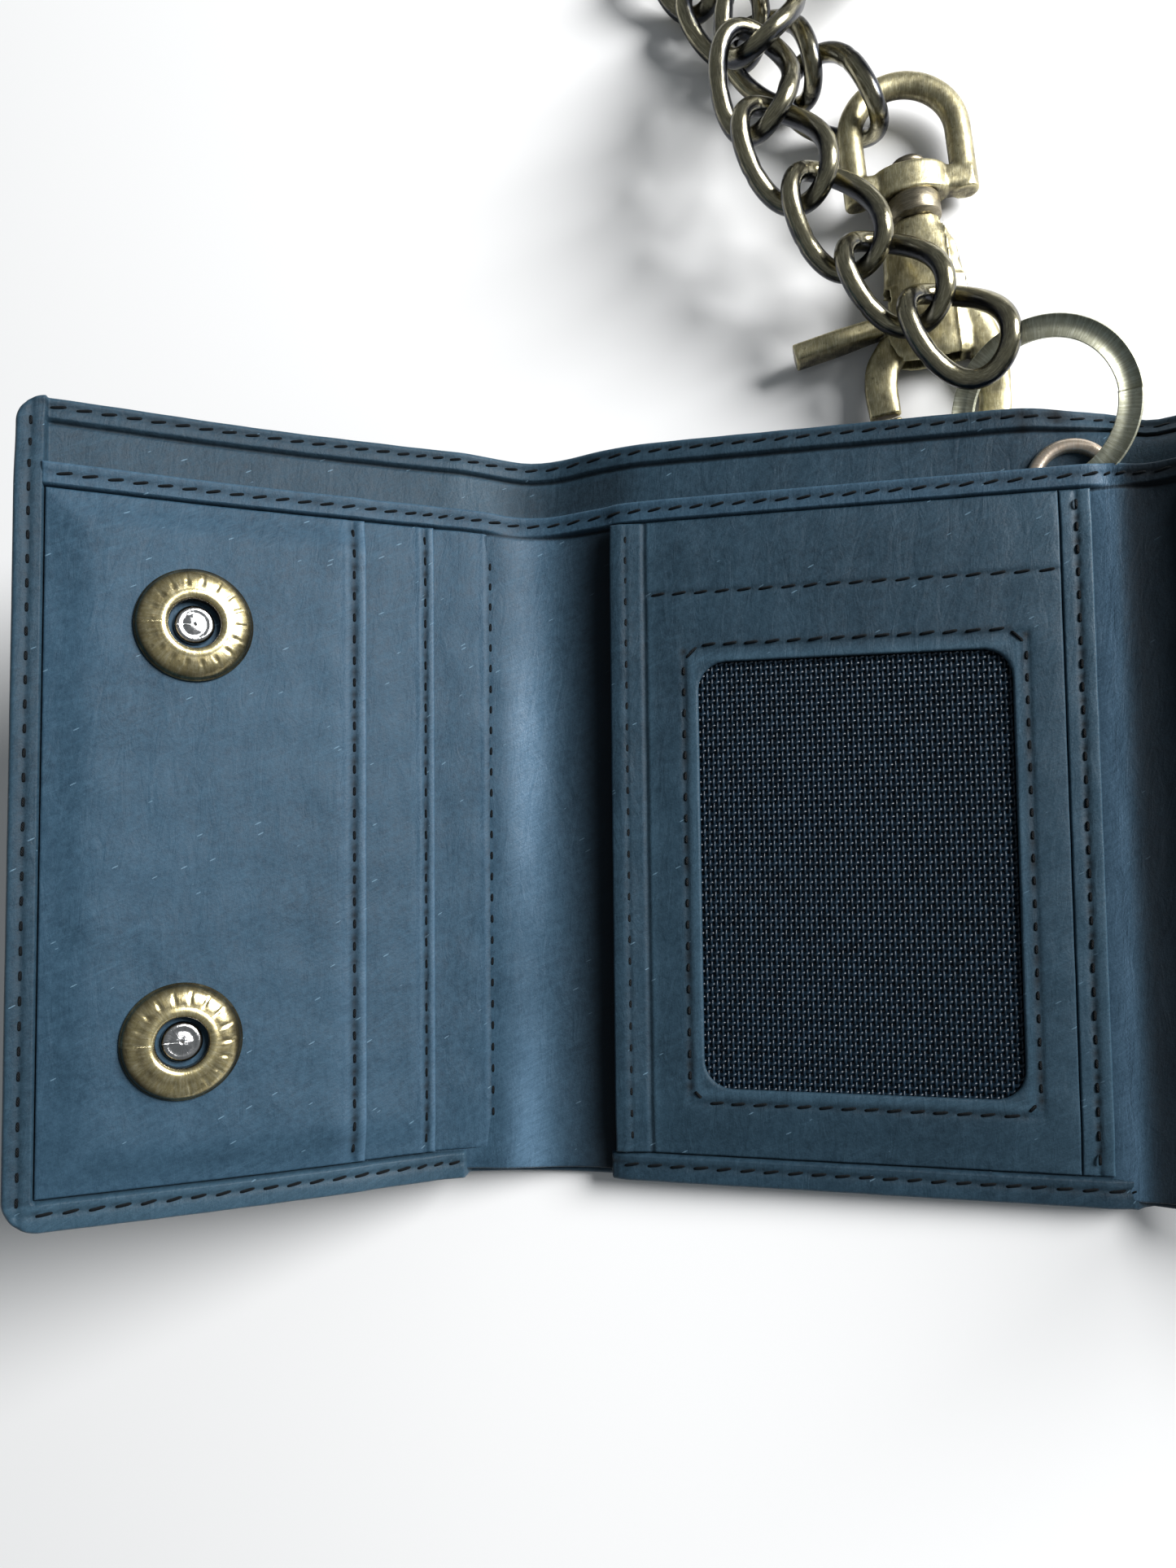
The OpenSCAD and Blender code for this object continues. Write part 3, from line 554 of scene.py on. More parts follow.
def sweep(points, section):
    """A capped tube of a given section, (count, 2) or one per point, along points."""
    side, up = sides_of(unit(np.gradient(points, axis=0)))
    section = np.broadcast_to(section, (len(points), *np.shape(section)[-2:]))
    co = points[:, None] + section[..., :1] * side[:, None] + section[..., 1:] * up[:, None]
    return co.reshape(-1, 3), tube_faces(*co.shape[:2])


def merged(parts):
    """Joins (points, faces) pairs into one."""
    co, faces, start = [], [], 0
    for points, quads in parts:
        co.append(points)
        faces += [tuple(k + start for k in f) for f in quads]
        start += len(points)
    return np.concatenate(co), faces


LEFT_BLEND = ("left_flap", "centre_panel", spot(-BEND_LEFT[0], 0, 2), spot(BEND_LEFT[1], 0, 2))
RIGHT_BLEND = ("centre_panel", "right_flap", spot(MID - BEND_RIGHT[0], 0, 2),
               spot(MID + BEND_RIGHT[1], 0, 2))

# ---- heights of the layers

LIP = 62.3                      # -u of the cover's turned edge on the left flap
LIP_RIGHT = MID + 74.3
LIP_V = -50.0
WALL_TOP = 44.5
HEM_V = 41.3                    # lower edge of the inner wall's hem
COVER_HEM_V = 51.0
ID_X = (19.2, 81.2)
WINDOW = (32.0, 74.7, -40.5, 20.0)
STRIP_X = (81.35, 85.3)
MOUTHS = (2.4, -9.6, -20.8)     # u of the card pockets' open edges
RIGHT_MOUTHS = (MID + 8, MID + 19, MID + 30)
POCKET_V = (-49.9, 41.25)
SQUEEZED_T = 0.42               # a pocket's thickness in a seam
RIDGE_U = 89.5                  # where the inner wall stands up at the right fold

# Seams: the thread runs along these places.
PITCH = 3.1                     # from one needle hole to the next
SEAM_TOP = 52.7
SEAM_LOW = -51.6
SEAM_LEFT = -64.2
SEAM_RIGHT = RIGHT_END - 1.8
SEAM_WALL = 43.0
SEAM_STRIP = 83.4
SEAM_SLOT = 30.3                # under the card slot above the window
SEAM_ID = 21.6
CREASE_ID = 24.3
MOUTH_TO_SEAM = 1.7
SEAM_END = 0.6
SEAM_FRAME = (WINDOW[0] - 2, WINDOW[1] + 1.8, WINDOW[2] - 2, WINDOW[3] + 2.6)


def seated(u, v):
    """0 where seams squeeze the pockets flat, 1 in the open."""
    side = np.minimum(u + LIP, LIP_RIGHT - u)
    return step(np.minimum(np.minimum(side, HEM_V - v), v - LIP_V), 0.0, 6.0)


def stacked(u):
    """How many pocket layers lie on the wall there, blurred over the mouths."""
    left = sum(1 - step(u, m - 1.5, m + 1.5) for m in MOUTHS)
    right = sum(step(u, m - 1.5, m + 1.5) for m in RIGHT_MOUTHS)
    middle = step(u, ID_X[0] - 1, ID_X[0] + 1) * (1 - step(u, 84, 88))
    return left + right + 1.4 * middle


def hem_height(u):
    return 3.55 + 0.4 * np.minimum(stacked(u), 3)


def lip_height(u, v):
    return 3.7 + 0.35 * np.minimum(stacked(u), 3) - 1.9 * step(v, HEM_V, HEM_V + 8)


def lip_mask(u, v):
    side = step(-u, LIP - 0.05, LIP + 0.25) + step(u, LIP_RIGHT - 0.05, LIP_RIGHT + 0.25)
    open_fold = step(u, -4.5, -3.0) * (1 - step(u, ID_X[0] - 1.2, ID_X[0] - 0.6))
    open_right = step(u, 90.0, 91.5) * (1 - step(u, MID + 5.0, MID + 6.5))
    low = (1 - step(v, LIP_V - 0.2, LIP_V)) * (1 - open_fold) * (1 - open_right)
    return np.clip(side + low, 0, 1)


def level(value):
    """A height or a wear that is the same all over."""
    return lambda u, v: value + 0 * u


def ripple(u, v, scale=1.0):
    """Small unevenness of hand-worked leather."""
    return scale * (0.05 * np.sin(u * 0.9 + 1.3 * np.sin(v * 0.31))
                    + 0.05 * np.sin(v * 0.7 + 1.1 * np.sin(u * 0.23)))


def groove(x, at, depth, width=0.4):
    return -depth * bump(x, at, width)


def cover_top(u, v):
    top = COVER_T + 0.65 * step(v, COVER_HEM_V - 0.1, COVER_HEM_V + 0.15)
    top = top - 0.25 * bump(v, COVER_HEM_V - 0.35, 0.2)
    lip = lip_height(u, v)
    top = top + (lip - top) * lip_mask(u, v)
    top = top + groove(v, SEAM_TOP, 0.16) + groove(v, SEAM_LOW, 0.16) * lip_mask(u, v)
    top = top + groove(u, SEAM_LEFT, 0.16) * step(-u, LIP, LIP + 0.3)
    return top + ripple(u, v, 0.8)


def cover_bottom(u, v):
    bead = groove(v, SEAM_TOP, -0.12) + groove(v, SEAM_LOW, -0.12)
    return bead + groove(u, SEAM_LEFT, -0.12) + groove(u, SEAM_RIGHT, -0.12)


def valley(u):
    """The inner wall bulges at the left fold, then dives beside the window pocket."""
    return 0.9 * bump(u, 3.5, 5.0) - 0.5 * bump(u, 15.5, 3.6)


def wall_top(u, v):
    top = 2.9 + valley(u) + 0.9 * bump(u, RIDGE_U, 4.5) + ripple(u, v)
    hem = hem_height(u) + ripple(u, v, 0.6) + groove(v, SEAM_WALL, 0.14)
    top = top + (hem - top) * step(v, HEM_V - 0.05, HEM_V + 0.2)
    return top - 0.2 * bump(v, HEM_V - 0.3, 0.18) * (1 - step(v, HEM_V - 0.05, HEM_V))


def wall_bottom(u, v):
    return 2.0 + np.minimum(valley(u), 0.6) + 0.7 * bump(u, RIDGE_U, 4.5)


def pocket_heights(low, high, squeezed):
    """Top and bottom of a pocket that the seams squeeze from high down to squeezed."""
    def top(u, v):
        return squeezed + (high - squeezed) * seated(u, v) + ripple(u, v)

    def bottom(u, v):
        return squeezed - SQUEEZED_T + (low - squeezed + SQUEEZED_T) * seated(u, v)
    return top, bottom


# ---- stitching

STITCH_RINGS = 9
STITCH_SIDES = 6
STITCH_R = (0.21, 0.2)          # half the width and height of the thread
STITCH_RUN = (0.4, 0.24)        # half a stitch's length per pitch, along u and along v
STITCH_SWAY = 1.5               # spread of the stitches' slant, in degrees


def stitches(runs, name, side=1):
    """Raised stitches along runs of (u0, v0, u1, v1, surface, slant)."""
    parts, flats = [], []
    q = np.linspace(-1, 1, STITCH_RINGS)
    angle = np.arange(STITCH_SIDES) * 2 * math.pi / STITCH_SIDES
    fat = np.sqrt(np.maximum(1 - q ** 6, 0.04))
    across = STITCH_R[0] * np.cos(angle)[None] * fat[:, None]
    lift = (0.08 - 0.4 * q ** 4)[:, None] + STITCH_R[1] * np.sin(angle)[None] * fat[:, None]
    faces = tube_faces(STITCH_RINGS, STITCH_SIDES)
    if side > 0:
        faces = [f[::-1] for f in faces]
    for u0, v0, u1, v1, surface, slant in runs:
        length = math.hypot(u1 - u0, v1 - v0)
        count = max(1, round(length / PITCH))
        du, dv = (u1 - u0) / length, (v1 - v0) / length
        for k in range(count):
            middle = (k + 0.5) * length / count
            turn = math.radians(slant + rng.normal(0, STITCH_SWAY))
            au = du * math.cos(turn) - dv * math.sin(turn)
            av = du * math.sin(turn) + dv * math.cos(turn)
            run = (q * STITCH_RUN[abs(du) <= abs(dv)] * length / count)[:, None]
            u = u0 + du * middle + au * run - av * across
            v = v0 + dv * middle + av * run + au * across
            base = surface(np.array(u0 + du * middle), np.array(v0 + dv * middle))
            parts.append((lay(u, v, base + side * lift).reshape(-1, 3), faces))
            flats.append(rows(run + 4 * k, angle[None] * 0.6, 0.0))
    co, faces = merged(parts)
    return piece(name, co, faces, THREAD, "waxed_thread", flat=np.concatenate(flats))


def beat(x):
    """Distance along a seam to the nearest needle hole."""
    return np.abs((x / PITCH + 0.5) % 1 - 0.5) * PITCH


def holes_along(across, along, at, lo, hi):
    """Dark needle holes at the ends of the stitches of one straight run."""
    line = bump(across, at, 0.5) * (0.35 + 0.65 * bump(beat(along), 0, 0.5))
    return line * step(along, lo - 0.3, lo) * (1 - step(along, hi, hi + 0.3))


# ---- leather pieces


def halves(stem, us, vs, top, bottom, material, slot, nodes, corners=((), ()), **looks):
    """A layer that runs through both folds, as two sheets that meet at SPLIT."""
    sides = zip(("left", "right"), us, nodes, corners, ("u1", "u0"), (LEFT_BLEND, RIGHT_BLEND))
    for side, places, replaced, cut, end, bend in sides:
        sheet = slab(f"{stem}_{side}", places, vs, top, bottom, material, slot,
                     corners=cut, open_ends=(end,), **looks)
        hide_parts(*replaced)
        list(bend)
        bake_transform(sheet)


def shaded(u):
    """Painted shade in the hollow past the right fold, which fades to less over the flap."""
    return step(u, 89.8, 94.0) * (1 - 0.6 * step(u, 104, 125))


# Painted shade on the cover: under the hem's edge, in the needle holes, in the gap by the left fold
# and past the right fold, with thin darker marks near the top on the right.
def cover_painted_shade(u, v):
    dark = 0.7 * bump(v, COVER_HEM_V - 0.25, 0.3) * (1 - step(-u, LIP - 1, LIP))
    for at in (SEAM_TOP, SEAM_LOW):
        dark = dark + 0.5 * holes_along(v, u, at, -64, 168)
    dark = dark + 0.5 * holes_along(u, v, SEAM_LEFT, -51, 52)
    dark = dark + 0.8 * bump(u, 82.0, 1.2) * step(v, 51.3, 52) + 0.5 * shaded(u)
    dark = dark + 0.5 * (bump(u, 75.2, 0.3) + bump(u, 77.4, 0.3)) * step(v, 49, 51)
    return dark + 0.4 * step(v, 44, 46) * (1 - step(v, 49, 51)) * step(-np.abs(u - 12), -14, -6)


# Lighter rubbed rims and lip, and a painted highlight across the left fold's bend.
def cover_rub_and_highlight(u, v):
    rims = step(np.abs(v), HALF - 0.8, HALF) + step(-u, -LEFT_END - 1, -LEFT_END)
    lip = 0.4 * step(-u, 0, 20) * (1 - step(v, LIP_V - 0.5, LIP_V))
    return 0.3 * rims + lip + 0.35 * bump(u, -2, 6)


COVER_RIM = 0.6


def build_cover():
    vs = ticks(-HALF, HALF, 1.6, (LIP_V, SEAM_LOW, COVER_HEM_V, SEAM_TOP), COVER_RIM)
    features = (-LIP, SEAM_LEFT, -3.8, ID_X[0] - 0.9)
    us = (ticks(LEFT_END, SPLIT, 1.5, features, COVER_RIM),
          ticks(SPLIT, RIGHT_END, 1.5, (LIP_RIGHT, SEAM_RIGHT), COVER_RIM))
    corners = [[((end, -HALF), (way, 1), 4.5), ((end, HALF), (way, -1), 4.0)]
               for end, way in ((LEFT_END, 1), (RIGHT_END, -1))]
    halves("cover_leather", us, vs, cover_top, cover_bottom, LEATHER, "cover_leather",
           (("cover_left", "cover_fold_left", "cover_centre"),
            ("cover_right", "cover_fold_right")),
           corners, rim=COVER_RIM, rub_and_highlight=cover_rub_and_highlight, painted_shade=cover_painted_shade)


def build_lining():
    us = (ticks(-61.5, SPLIT, 2.0, rim=0.05), ticks(SPLIT, LIP_RIGHT - 1, 2.0, rim=0.05))
    halves("lining_sheet", us, ticks(-49.5, 43.0, 4.0, rim=0.05), level(1.5), level(1.3),
           LINING, "lining_cloth", (("lining_left", "lining_centre"), ("lining_right",)),
           rim=0.05)


# Painted shade on the inner wall: under the hem's edge, in the needle holes, in the valley beside
# the window pocket and past the right fold.
def wall_painted_shade(u, v):
    dark = 0.75 * bump(v, HEM_V - 0.2, 0.28) + 0.5 * holes_along(v, u, SEAM_WALL, -62, 166)
    fold = 0.45 * step(u, 8.5, 14.0) + 0.5 * step(u, 13.0, 18.5)
    dark = dark + fold * (1 - step(u, 19.2, 20.5)) * (1 - step(v, 40, 42))
    return dark + 0.85 * shaded(u)


# Lighter rubbed top edge, and painted highlights on the left fold's bend and on the ridge by the
# right fold.
def wall_rub_and_highlight(u, v):
    band = bump(u, 6.6, 3.0) * (0.6 + 0.4 * np.sin(v / 9.0 + 1.0)) * (1 - step(v, 40, 42))
    return 1.1 * band + 0.3 * step(v, WALL_TOP - 0.6, WALL_TOP) + 1.2 * bump(u, RIDGE_U - 1.3, 2.4)


WALL_RIM = 0.4


def build_wall():
    us = (ticks(-LIP - 0.5, SPLIT, 1.3, rim=WALL_RIM),
          ticks(SPLIT, LIP_RIGHT + 0.5, 1.3, rim=WALL_RIM))
    vs = ticks(-52.9, WALL_TOP, 1.4, (HEM_V, SEAM_WALL), WALL_RIM)
    halves("inner_wall_leather", us, vs, wall_top, wall_bottom, LEATHER_LIT_COPY, "inner_leather",
           (("inner_wall_left", "inner_fold_left", "inner_wall_centre"),
            ("inner_wall_right", "inner_fold_right")),
           rim=WALL_RIM, rub_and_highlight=wall_rub_and_highlight, painted_shade=wall_painted_shade)


LEVELS = ((2.96, 3.62, 3.3), (3.7, 4.3, 3.68), (4.8, 5.42, 4.08))
RIGHT_LEVELS = ((2.96, 3.62, 3.3), (3.7, 4.3, 3.68), (4.36, 4.98, 4.06))


def seam_dip(u, v, at):
    return groove(u, at, 0.14, 0.5) - 0.16 * bump(u, at, 0.35) * bump(beat(v), 0, 0.6)


def build_pocket(name, node, mouth, outer, levels, body, blend):
    """A card pocket between its mouth and the turned edge; returns its run of stitches."""
    top, bottom = pocket_heights(*levels)
    away = 1 if outer > mouth else -1
    seam = mouth + away * MOUTH_TO_SEAM
    us = ticks(min(mouth, outer), max(mouth, outer), 1.3, (seam, mouth, mouth + away * 2.6))

    def surface(u, v):
        crest = 0.10 * bump(u, mouth + away * 2.9, 0.5)
        return top(u, v) + seam_dip(u, v, seam) + crest

    # Painted shade in the needle holes.
    def painted_shade(u, v):
        return 0.95 * holes_along(u, v, seam, POCKET_V[0] + 1, POCKET_V[1] - 1)

    def rub_and_highlight(u, v):
        return 0.5 * bump(u, mouth + away * 0.3, 0.5) + 0.25 * bump(u, mouth + away * 3.2, 0.8)
    obj = slab(name, us, ticks(*POCKET_V, 0.8), surface, bottom, LEATHER_LIT_COPY, "inner_leather",
               rub_and_highlight=rub_and_highlight, painted_shade=painted_shade)
    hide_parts(node)
    if blend:
        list(blend)
        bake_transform(obj)
    else:
        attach(obj, body)
    return (seam, POCKET_V[0] + SEAM_END, seam, POCKET_V[1] - SEAM_END, surface, 0)


def past_window(u, v):
    """How far a place is outside the window, sideways or up and down."""
    x0, x1, y0, y1 = WINDOW
    return np.maximum.reduce([x0 - u, u - x1, y0 - v, v - y1])


def id_top(u, v):
    edge = 0.9 * bump(u, ID_X[0] + 0.8, 2.4)
    lines = groove(u, CREASE_ID, 0.28, 0.35) + groove(u, SEAM_ID, 0.1, 0.3)
    lines = lines + groove(v, 32.6, 0.1, 0.5) + groove(past_window(u, v), 2.0, 0.14)
    return ID_HEIGHTS[0](u, v) + edge + lines + groove(v, SEAM_SLOT, 0.14) * step(u, 24, 25)


def id_bottom(u, v):
    return ID_HEIGHTS[1](u, v) + 0.6 * bump(u, ID_X[0] + 0.8, 2.4)


# Painted shade in the needle holes and in the crease of the window pocket.
def id_painted_shade(u, v):
    left, right, low, high = SEAM_FRAME
    dark = 0.35 * holes_along(u, v, SEAM_ID, -48, 40) + 0.35 * bump(u, CREASE_ID, 0.3)
    for at in (left, right):
        dark = dark + 0.9 * holes_along(u, v, at, WINDOW[2] - 1, WINDOW[3] + 2)
    for at in (high, low):
        dark = dark + 0.5 * holes_along(v, u, at, WINDOW[0], WINDOW[1])
    return dark + 0.4 * holes_along(v, u, SEAM_SLOT, 24.8, 81)


# A painted highlight round the window's edge, lighter lines by the crease and the left edge, and a
# lighter right part.
def id_rub_and_highlight(u, v):
    edges = 0.45 * bump(past_window(u, v), 0.6, 0.6) + 0.3 * bump(u, 25.0, 0.4)
    return edges + 0.2 * bump(u, ID_X[0], 0.8) + 0.35 * step(u, 66, 84)


ID_HEIGHTS = pocket_heights(3.5, 4.2, 3.66)


def through(places, *exact):
    """Grid places that pass exactly through some places."""
    clear = np.min(np.abs(places[:, None] - exact), 1) > 0.06
    return np.unique(np.concatenate([places[clear], exact]))


def build_id_pocket():
    x0, x1, y0, y1 = WINDOW
    left, right, low, high = SEAM_FRAME
    us = ticks(*ID_X, 1.4, (CREASE_ID, SEAM_ID, x0, x1, left, right))
    vs = ticks(*POCKET_V, 1.4, (SEAM_SLOT, y0, y1, low, high))
    obj = slab("id_pocket_leather", through(us, x0, x1), through(vs, y0, y1), id_top, id_bottom,
               LEATHER, "inner_leather", hole=WINDOW, rub_and_highlight=id_rub_and_highlight, painted_shade=id_painted_shade)
    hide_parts("id_pocket")
    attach(obj, "centre_panel")


def build_strip():
    top, bottom = pocket_heights(3.0, 4.1, 3.62)

    def surface(u, v):
        return top(u, v) + seam_dip(u, v, SEAM_STRIP)

    # Painted shade in the needle holes.
    def painted_shade(u, v):
        return 0.95 * holes_along(u, v, SEAM_STRIP, -48, 40)

    def rub_and_highlight(u, v):
        return 0.5 + 0.4 * bump(u, STRIP_X[1], 0.5)
    obj = slab("divider_strip_leather", ticks(*STRIP_X, 0.6, (SEAM_STRIP,)),
               ticks(*POCKET_V, 0.8), surface, bottom, LEATHER, "inner_leather", rub_and_highlight=rub_and_highlight,
               painted_shade=painted_shade)
    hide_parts("divider_strip")
    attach(obj, "centre_panel")


# ---- the window's mesh

WEFT = 0.9                      # distance between the threads that run across
WARP = 0.7                      # and between those that run up
WEFT_SIZE = (0.33, 0.1)         # half width and half thickness
WARP_SIZE = (0.22, 0.07)
MESH_W = 3.35
WAVE = 0.14


MESH_INTO = 0.9                 # how far the mesh reaches under the window's edge
PER_CROSSING = 4


def ribbon(us, vs, ws, across_u, across_v, half, thick):
    """A flat thread along (us, vs, ws), as a closed strip with four long edges."""
    sides = [lay(us + a * half * across_u, vs + a * half * across_v, ws + b * thick)
             for a, b in ((-1, 0), (0, 1), (1, 0), (0, -1))]
    flat = np.repeat(rows(us, vs, 0.0), 4, 0)
    return np.stack(sides, 1).reshape(-1, 3), flipped(tube_faces(len(us), 4)), flat


def build_mesh_window():
    x0, x1, y0, y1 = np.array(WINDOW) + MESH_INTO * np.array([-1, 1, -1, 1])
    threads = []
    for k, row in enumerate(np.arange(y0, y1, WEFT)):
        us = np.arange(x0, x1, WARP / PER_CROSSING)
        phase = math.pi * (us - x0) / WARP + math.pi * k
        threads.append(ribbon(us, row + 0.1 * np.cos(phase - 1.4),
                              MESH_W + WAVE * np.cos(phase), 0.0, 1.0, *WEFT_SIZE))
    for k, col in enumerate(np.arange(x0, x1, WARP)):
        vs = np.arange(y0, y1, WEFT / PER_CROSSING)
        phase = math.pi * (vs - y0) / WEFT + math.pi * k
        threads.append(ribbon(col + 0 * vs, vs, MESH_W - WAVE * np.cos(phase), 1.0, 0.0,
                              *WARP_SIZE))
    co, faces = merged([thread[:2] for thread in threads])
    woven = piece("window_mesh_threads", co, faces, MESH, "window_mesh",
                  flat=np.concatenate([thread[2] for thread in threads]))
    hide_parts("id_window_mesh")
    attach(woven, "centre_panel")
    # A dark sheet under the mesh: painted shade that stands in for the dark inside of the window
    # pocket.
    painted_shade_sheet = slab("window_painted_shade_sheet", ticks(x0, x1, 3.0, rim=0.02), ticks(y0, y1, 3.0, rim=0.02),
                   level(3.06), level(2.98), LINING, "lining_cloth", rim=0.02)
    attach(painted_shade_sheet, "centre_panel")


# ---- build the leather

build_cover()
build_lining()
build_wall()
pocket_runs = {"left": [], "right": []}
for side, stem, mouths, outer, levels, bend, bent in (
        ("left", "card", MOUTHS, -LIP, LEVELS, LEFT_BLEND, 2),
        ("right", "right", RIGHT_MOUTHS, LIP_RIGHT, RIGHT_LEVELS, RIGHT_BLEND, 1)):
    for number, word in enumerate(("back", "middle", "front")):
        pocket_runs[side].append(build_pocket(
            f"{stem}_pocket_leather_{word}", f"{stem}_pocket_{word}", mouths[number], outer,
            levels[number], f"{side}_flap", bend if number < bent else None))
build_id_pocket()
build_strip()
build_mesh_window()

ID_LEFT, ID_RIGHT, ID_LOW, ID_HIGH = SEAM_FRAME
CUT = 2.2                       # the frame's seam cuts its corners off by this much
centre_runs = [
    (24.8, SEAM_SLOT, 81.0, SEAM_SLOT, id_top, 9),
    (ID_LEFT + CUT, ID_HIGH, ID_RIGHT - CUT, ID_HIGH, id_top, 9),
    (ID_LEFT + CUT, ID_LOW, ID_RIGHT - CUT, ID_LOW, id_top, 9),
    (ID_LEFT, ID_LOW + CUT, ID_LEFT, ID_HIGH - CUT, id_top, 0),
    (ID_RIGHT, ID_LOW + CUT, ID_RIGHT, ID_HIGH - CUT, id_top, 0),
    (ID_LEFT, ID_HIGH - CUT, ID_LEFT + CUT, ID_HIGH, id_top, 0),
    (ID_RIGHT - CUT, ID_HIGH, ID_RIGHT, ID_HIGH - CUT, id_top, 0),
    (ID_LEFT, ID_LOW + CUT, ID_LEFT + CUT, ID_LOW, id_top, 0),
    (ID_RIGHT - CUT, ID_LOW, ID_RIGHT, ID_LOW + CUT, id_top, 0),
    (SEAM_STRIP, POCKET_V[0] + SEAM_END, SEAM_STRIP, POCKET_V[1] - SEAM_END, level(4.0), 0),
    (SEAM_ID, POCKET_V[0] + 1, SEAM_ID, POCKET_V[1] - 1, lambda u, v: id_top(u, v) - 0.12, 0),
]
left_edges = [
    (-62.6, SEAM_LOW, -4.6, SEAM_LOW, cover_top, 10),
    (ID_X[0] + 0.6, SEAM_LOW, SPLIT, SEAM_LOW, cover_top, 10),
    (-62.6, SEAM_TOP, SPLIT, SEAM_TOP, cover_top, 10),
]
right_edges = [
    (SPLIT, SEAM_LOW, 90.0, SEAM_LOW, cover_top, 10),
    (MID + 6.5, SEAM_LOW, RIGHT_END - 3, SEAM_LOW, cover_top, 10),
    (SPLIT, SEAM_TOP, RIGHT_END - 3, SEAM_TOP, cover_top, 10),
]
left_end = (SEAM_LEFT, -51.4, SEAM_LEFT, 51.8, cover_top, 0)
right_end = (SEAM_RIGHT, -51.4, SEAM_RIGHT, 51.8, cover_top, 0)
left_wall = (-61.6, SEAM_WALL, SPLIT, SEAM_WALL, wall_top, 12)
right_wall = (SPLIT, SEAM_WALL, LIP_RIGHT - 1, SEAM_WALL, wall_top, 12)


def on_back(runs):
    """The same runs of thread where they come out of the cover's back."""
    return [run[:4] + (lambda u, v: cover_bottom(u, v) + 0.02, 5) for run in runs]


for name, runs, side, node, bend in (
        ("thread_centre", centre_runs, 1, "stitching_centre", None),
        ("thread_left", pocket_runs["left"] + [left_end, *left_edges, left_wall], 1,
         "stitching_left", LEFT_BLEND),
        ("thread_right", pocket_runs["right"] + [right_end, *right_edges, right_wall], 1,
         "stitching_right", RIGHT_BLEND),
        ("thread_back_left", on_back([left_end, *left_edges]), -1, None, LEFT_BLEND),
        ("thread_back_right", on_back([right_end, *right_edges]), -1, None, RIGHT_BLEND)):
    thread = stitches(runs, name, side)
    if node:
        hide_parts(node)
    if bend:
        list(bend)
        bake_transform(thread)
    else:
        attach(thread, "centre_panel")

# ---- snaps and eyelet

SNAPS = ((-44.0, 24.1), (-45.1, -31.1))
SOCKET_R = 7.65
FRONT_W = 5.45                  # height of the front pocket's face
SHADE_SPREAD = 3


def on_leather(u, v, w, flip=1):
    """Matrix and place that stand a turned piece on the leather at (u, v, w)."""
    right = unit(lay(u + 0.5, v, w) - lay(u - 0.5, v, w))
    up = unit(lay(u, v + 0.5, w) - lay(u, v - 0.5, w))
    out = np.cross(right, up) * flip
    return np.stack([right * flip, up, out], 1), lay(u, v, w)


def turned(name, profile, places, material, slot, body, node, wear, sides=96, tweak=None,
           flip=1):
    """Lathe-turned pieces, one at each (u, v, w) place, as one mesh."""
    parts, flats, wears = [], [], []
    for u, v, w in places:
        co, faces = lathe(profile, sides)
        if tweak:
            co = tweak(co)
        turn, origin = on_leather(u, v, w, flip)
        parts.append((co @ turn.T + origin, faces))
        angle = np.arctan2(co[:, 1], co[:, 0])
        radius = np.hypot(co[:, 0], co[:, 1])
        flats.append(rows(radius, angle * SHADE_SPREAD, co[:, 2]) + u)
        wears.append(wear(radius, co[:, 2]))
    co, faces = merged(parts)
    obj = piece(name, co, faces, material, slot, flat=np.concatenate(flats),
                wear=np.concatenate(wears))
    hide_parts(node)
    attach(obj, body)


def socket_profile():
    """Domed ring with a rolled outer edge and a deep centre hole."""
    points = [(3.3, 0.02), (3.3, 1.5), (3.42, 1.9), (3.7, 2.12), (4.2, 2.22), (4.5, 2.12)]
    for a in np.linspace(0, math.pi / 2, 12):
        points.append((4.7 + 2.7 * math.sin(a), 2.08 - 1.55 * (1 - math.cos(a))))
    points += [(7.6, 0.42), (SOCKET_R, 0.3), (7.6, 0.12), (7.4, 0.02)]
    return points


TICKS = 18
TICK_DEEP = 0.16
TICK_HALF = 0.2
TICK_R = (5.2, 6.5)


def tick_marks(co):
    """Plain radial tick marks pressed into the dome in place of any lettering."""
    r = np.hypot(co[:, 0], co[:, 1])
    angle = np.arctan2(co[:, 1], co[:, 0])
    phase = np.abs((angle * TICKS / (2 * math.pi) + 0.5) % 1 - 0.5) * 2 * math.pi * r / TICKS
    marked = (phase < TICK_HALF) & (r > TICK_R[0]) & (r < TICK_R[1]) & (co[:, 2] > 0.5)
    return co - TICK_DEEP * marked[:, None] * UP


def socket_wear(r, z):
    return 0.25 + 0.6 * bump(r, 4.1, 0.7) + 0.35 * bump(r, 6.0, 0.9) - 0.5 * (r < 3.4)


SOCKET_AT = [(u, v, FRONT_W) for u, v in SNAPS]
STUD_AT = [(2 * MID + u, v, 0.0) for u, v in SNAPS]
turned("snap_socket_rings", socket_profile(), SOCKET_AT, SNAP_METAL, "antique_brass",
       "left_flap", "snap_sockets", socket_wear, 180, tick_marks)
POST = [(0.01, -1.2), (2.6, -1.2), (2.62, 0.4), (2.5, 0.7), (2.2, 0.86), (1.8, 0.88), (1.6, 0.8),
        (1.3, 0.88), (0.8, 0.98), (0.4, 1.02), (0.01, 1.03)]
turned("snap_post_heads", POST, SOCKET_AT, STEEL, "nickel_steel", "left_flap",
       "snap_posts", lambda r, z: 0.4 + 0.5 * (z > 0.7), 64)
STUD = [(0.95, 0.05), (5.0, 0.05), (5.1, 0.3), (4.9, 0.6), (4.2, 0.8), (2.6, 0.85), (2.35, 1.0),
        (2.35, 1.3), (2.65, 1.55), (2.85, 1.75), (2.75, 1.98), (2.4, 2.1), (1.2, 2.1), (0.95, 1.95)]
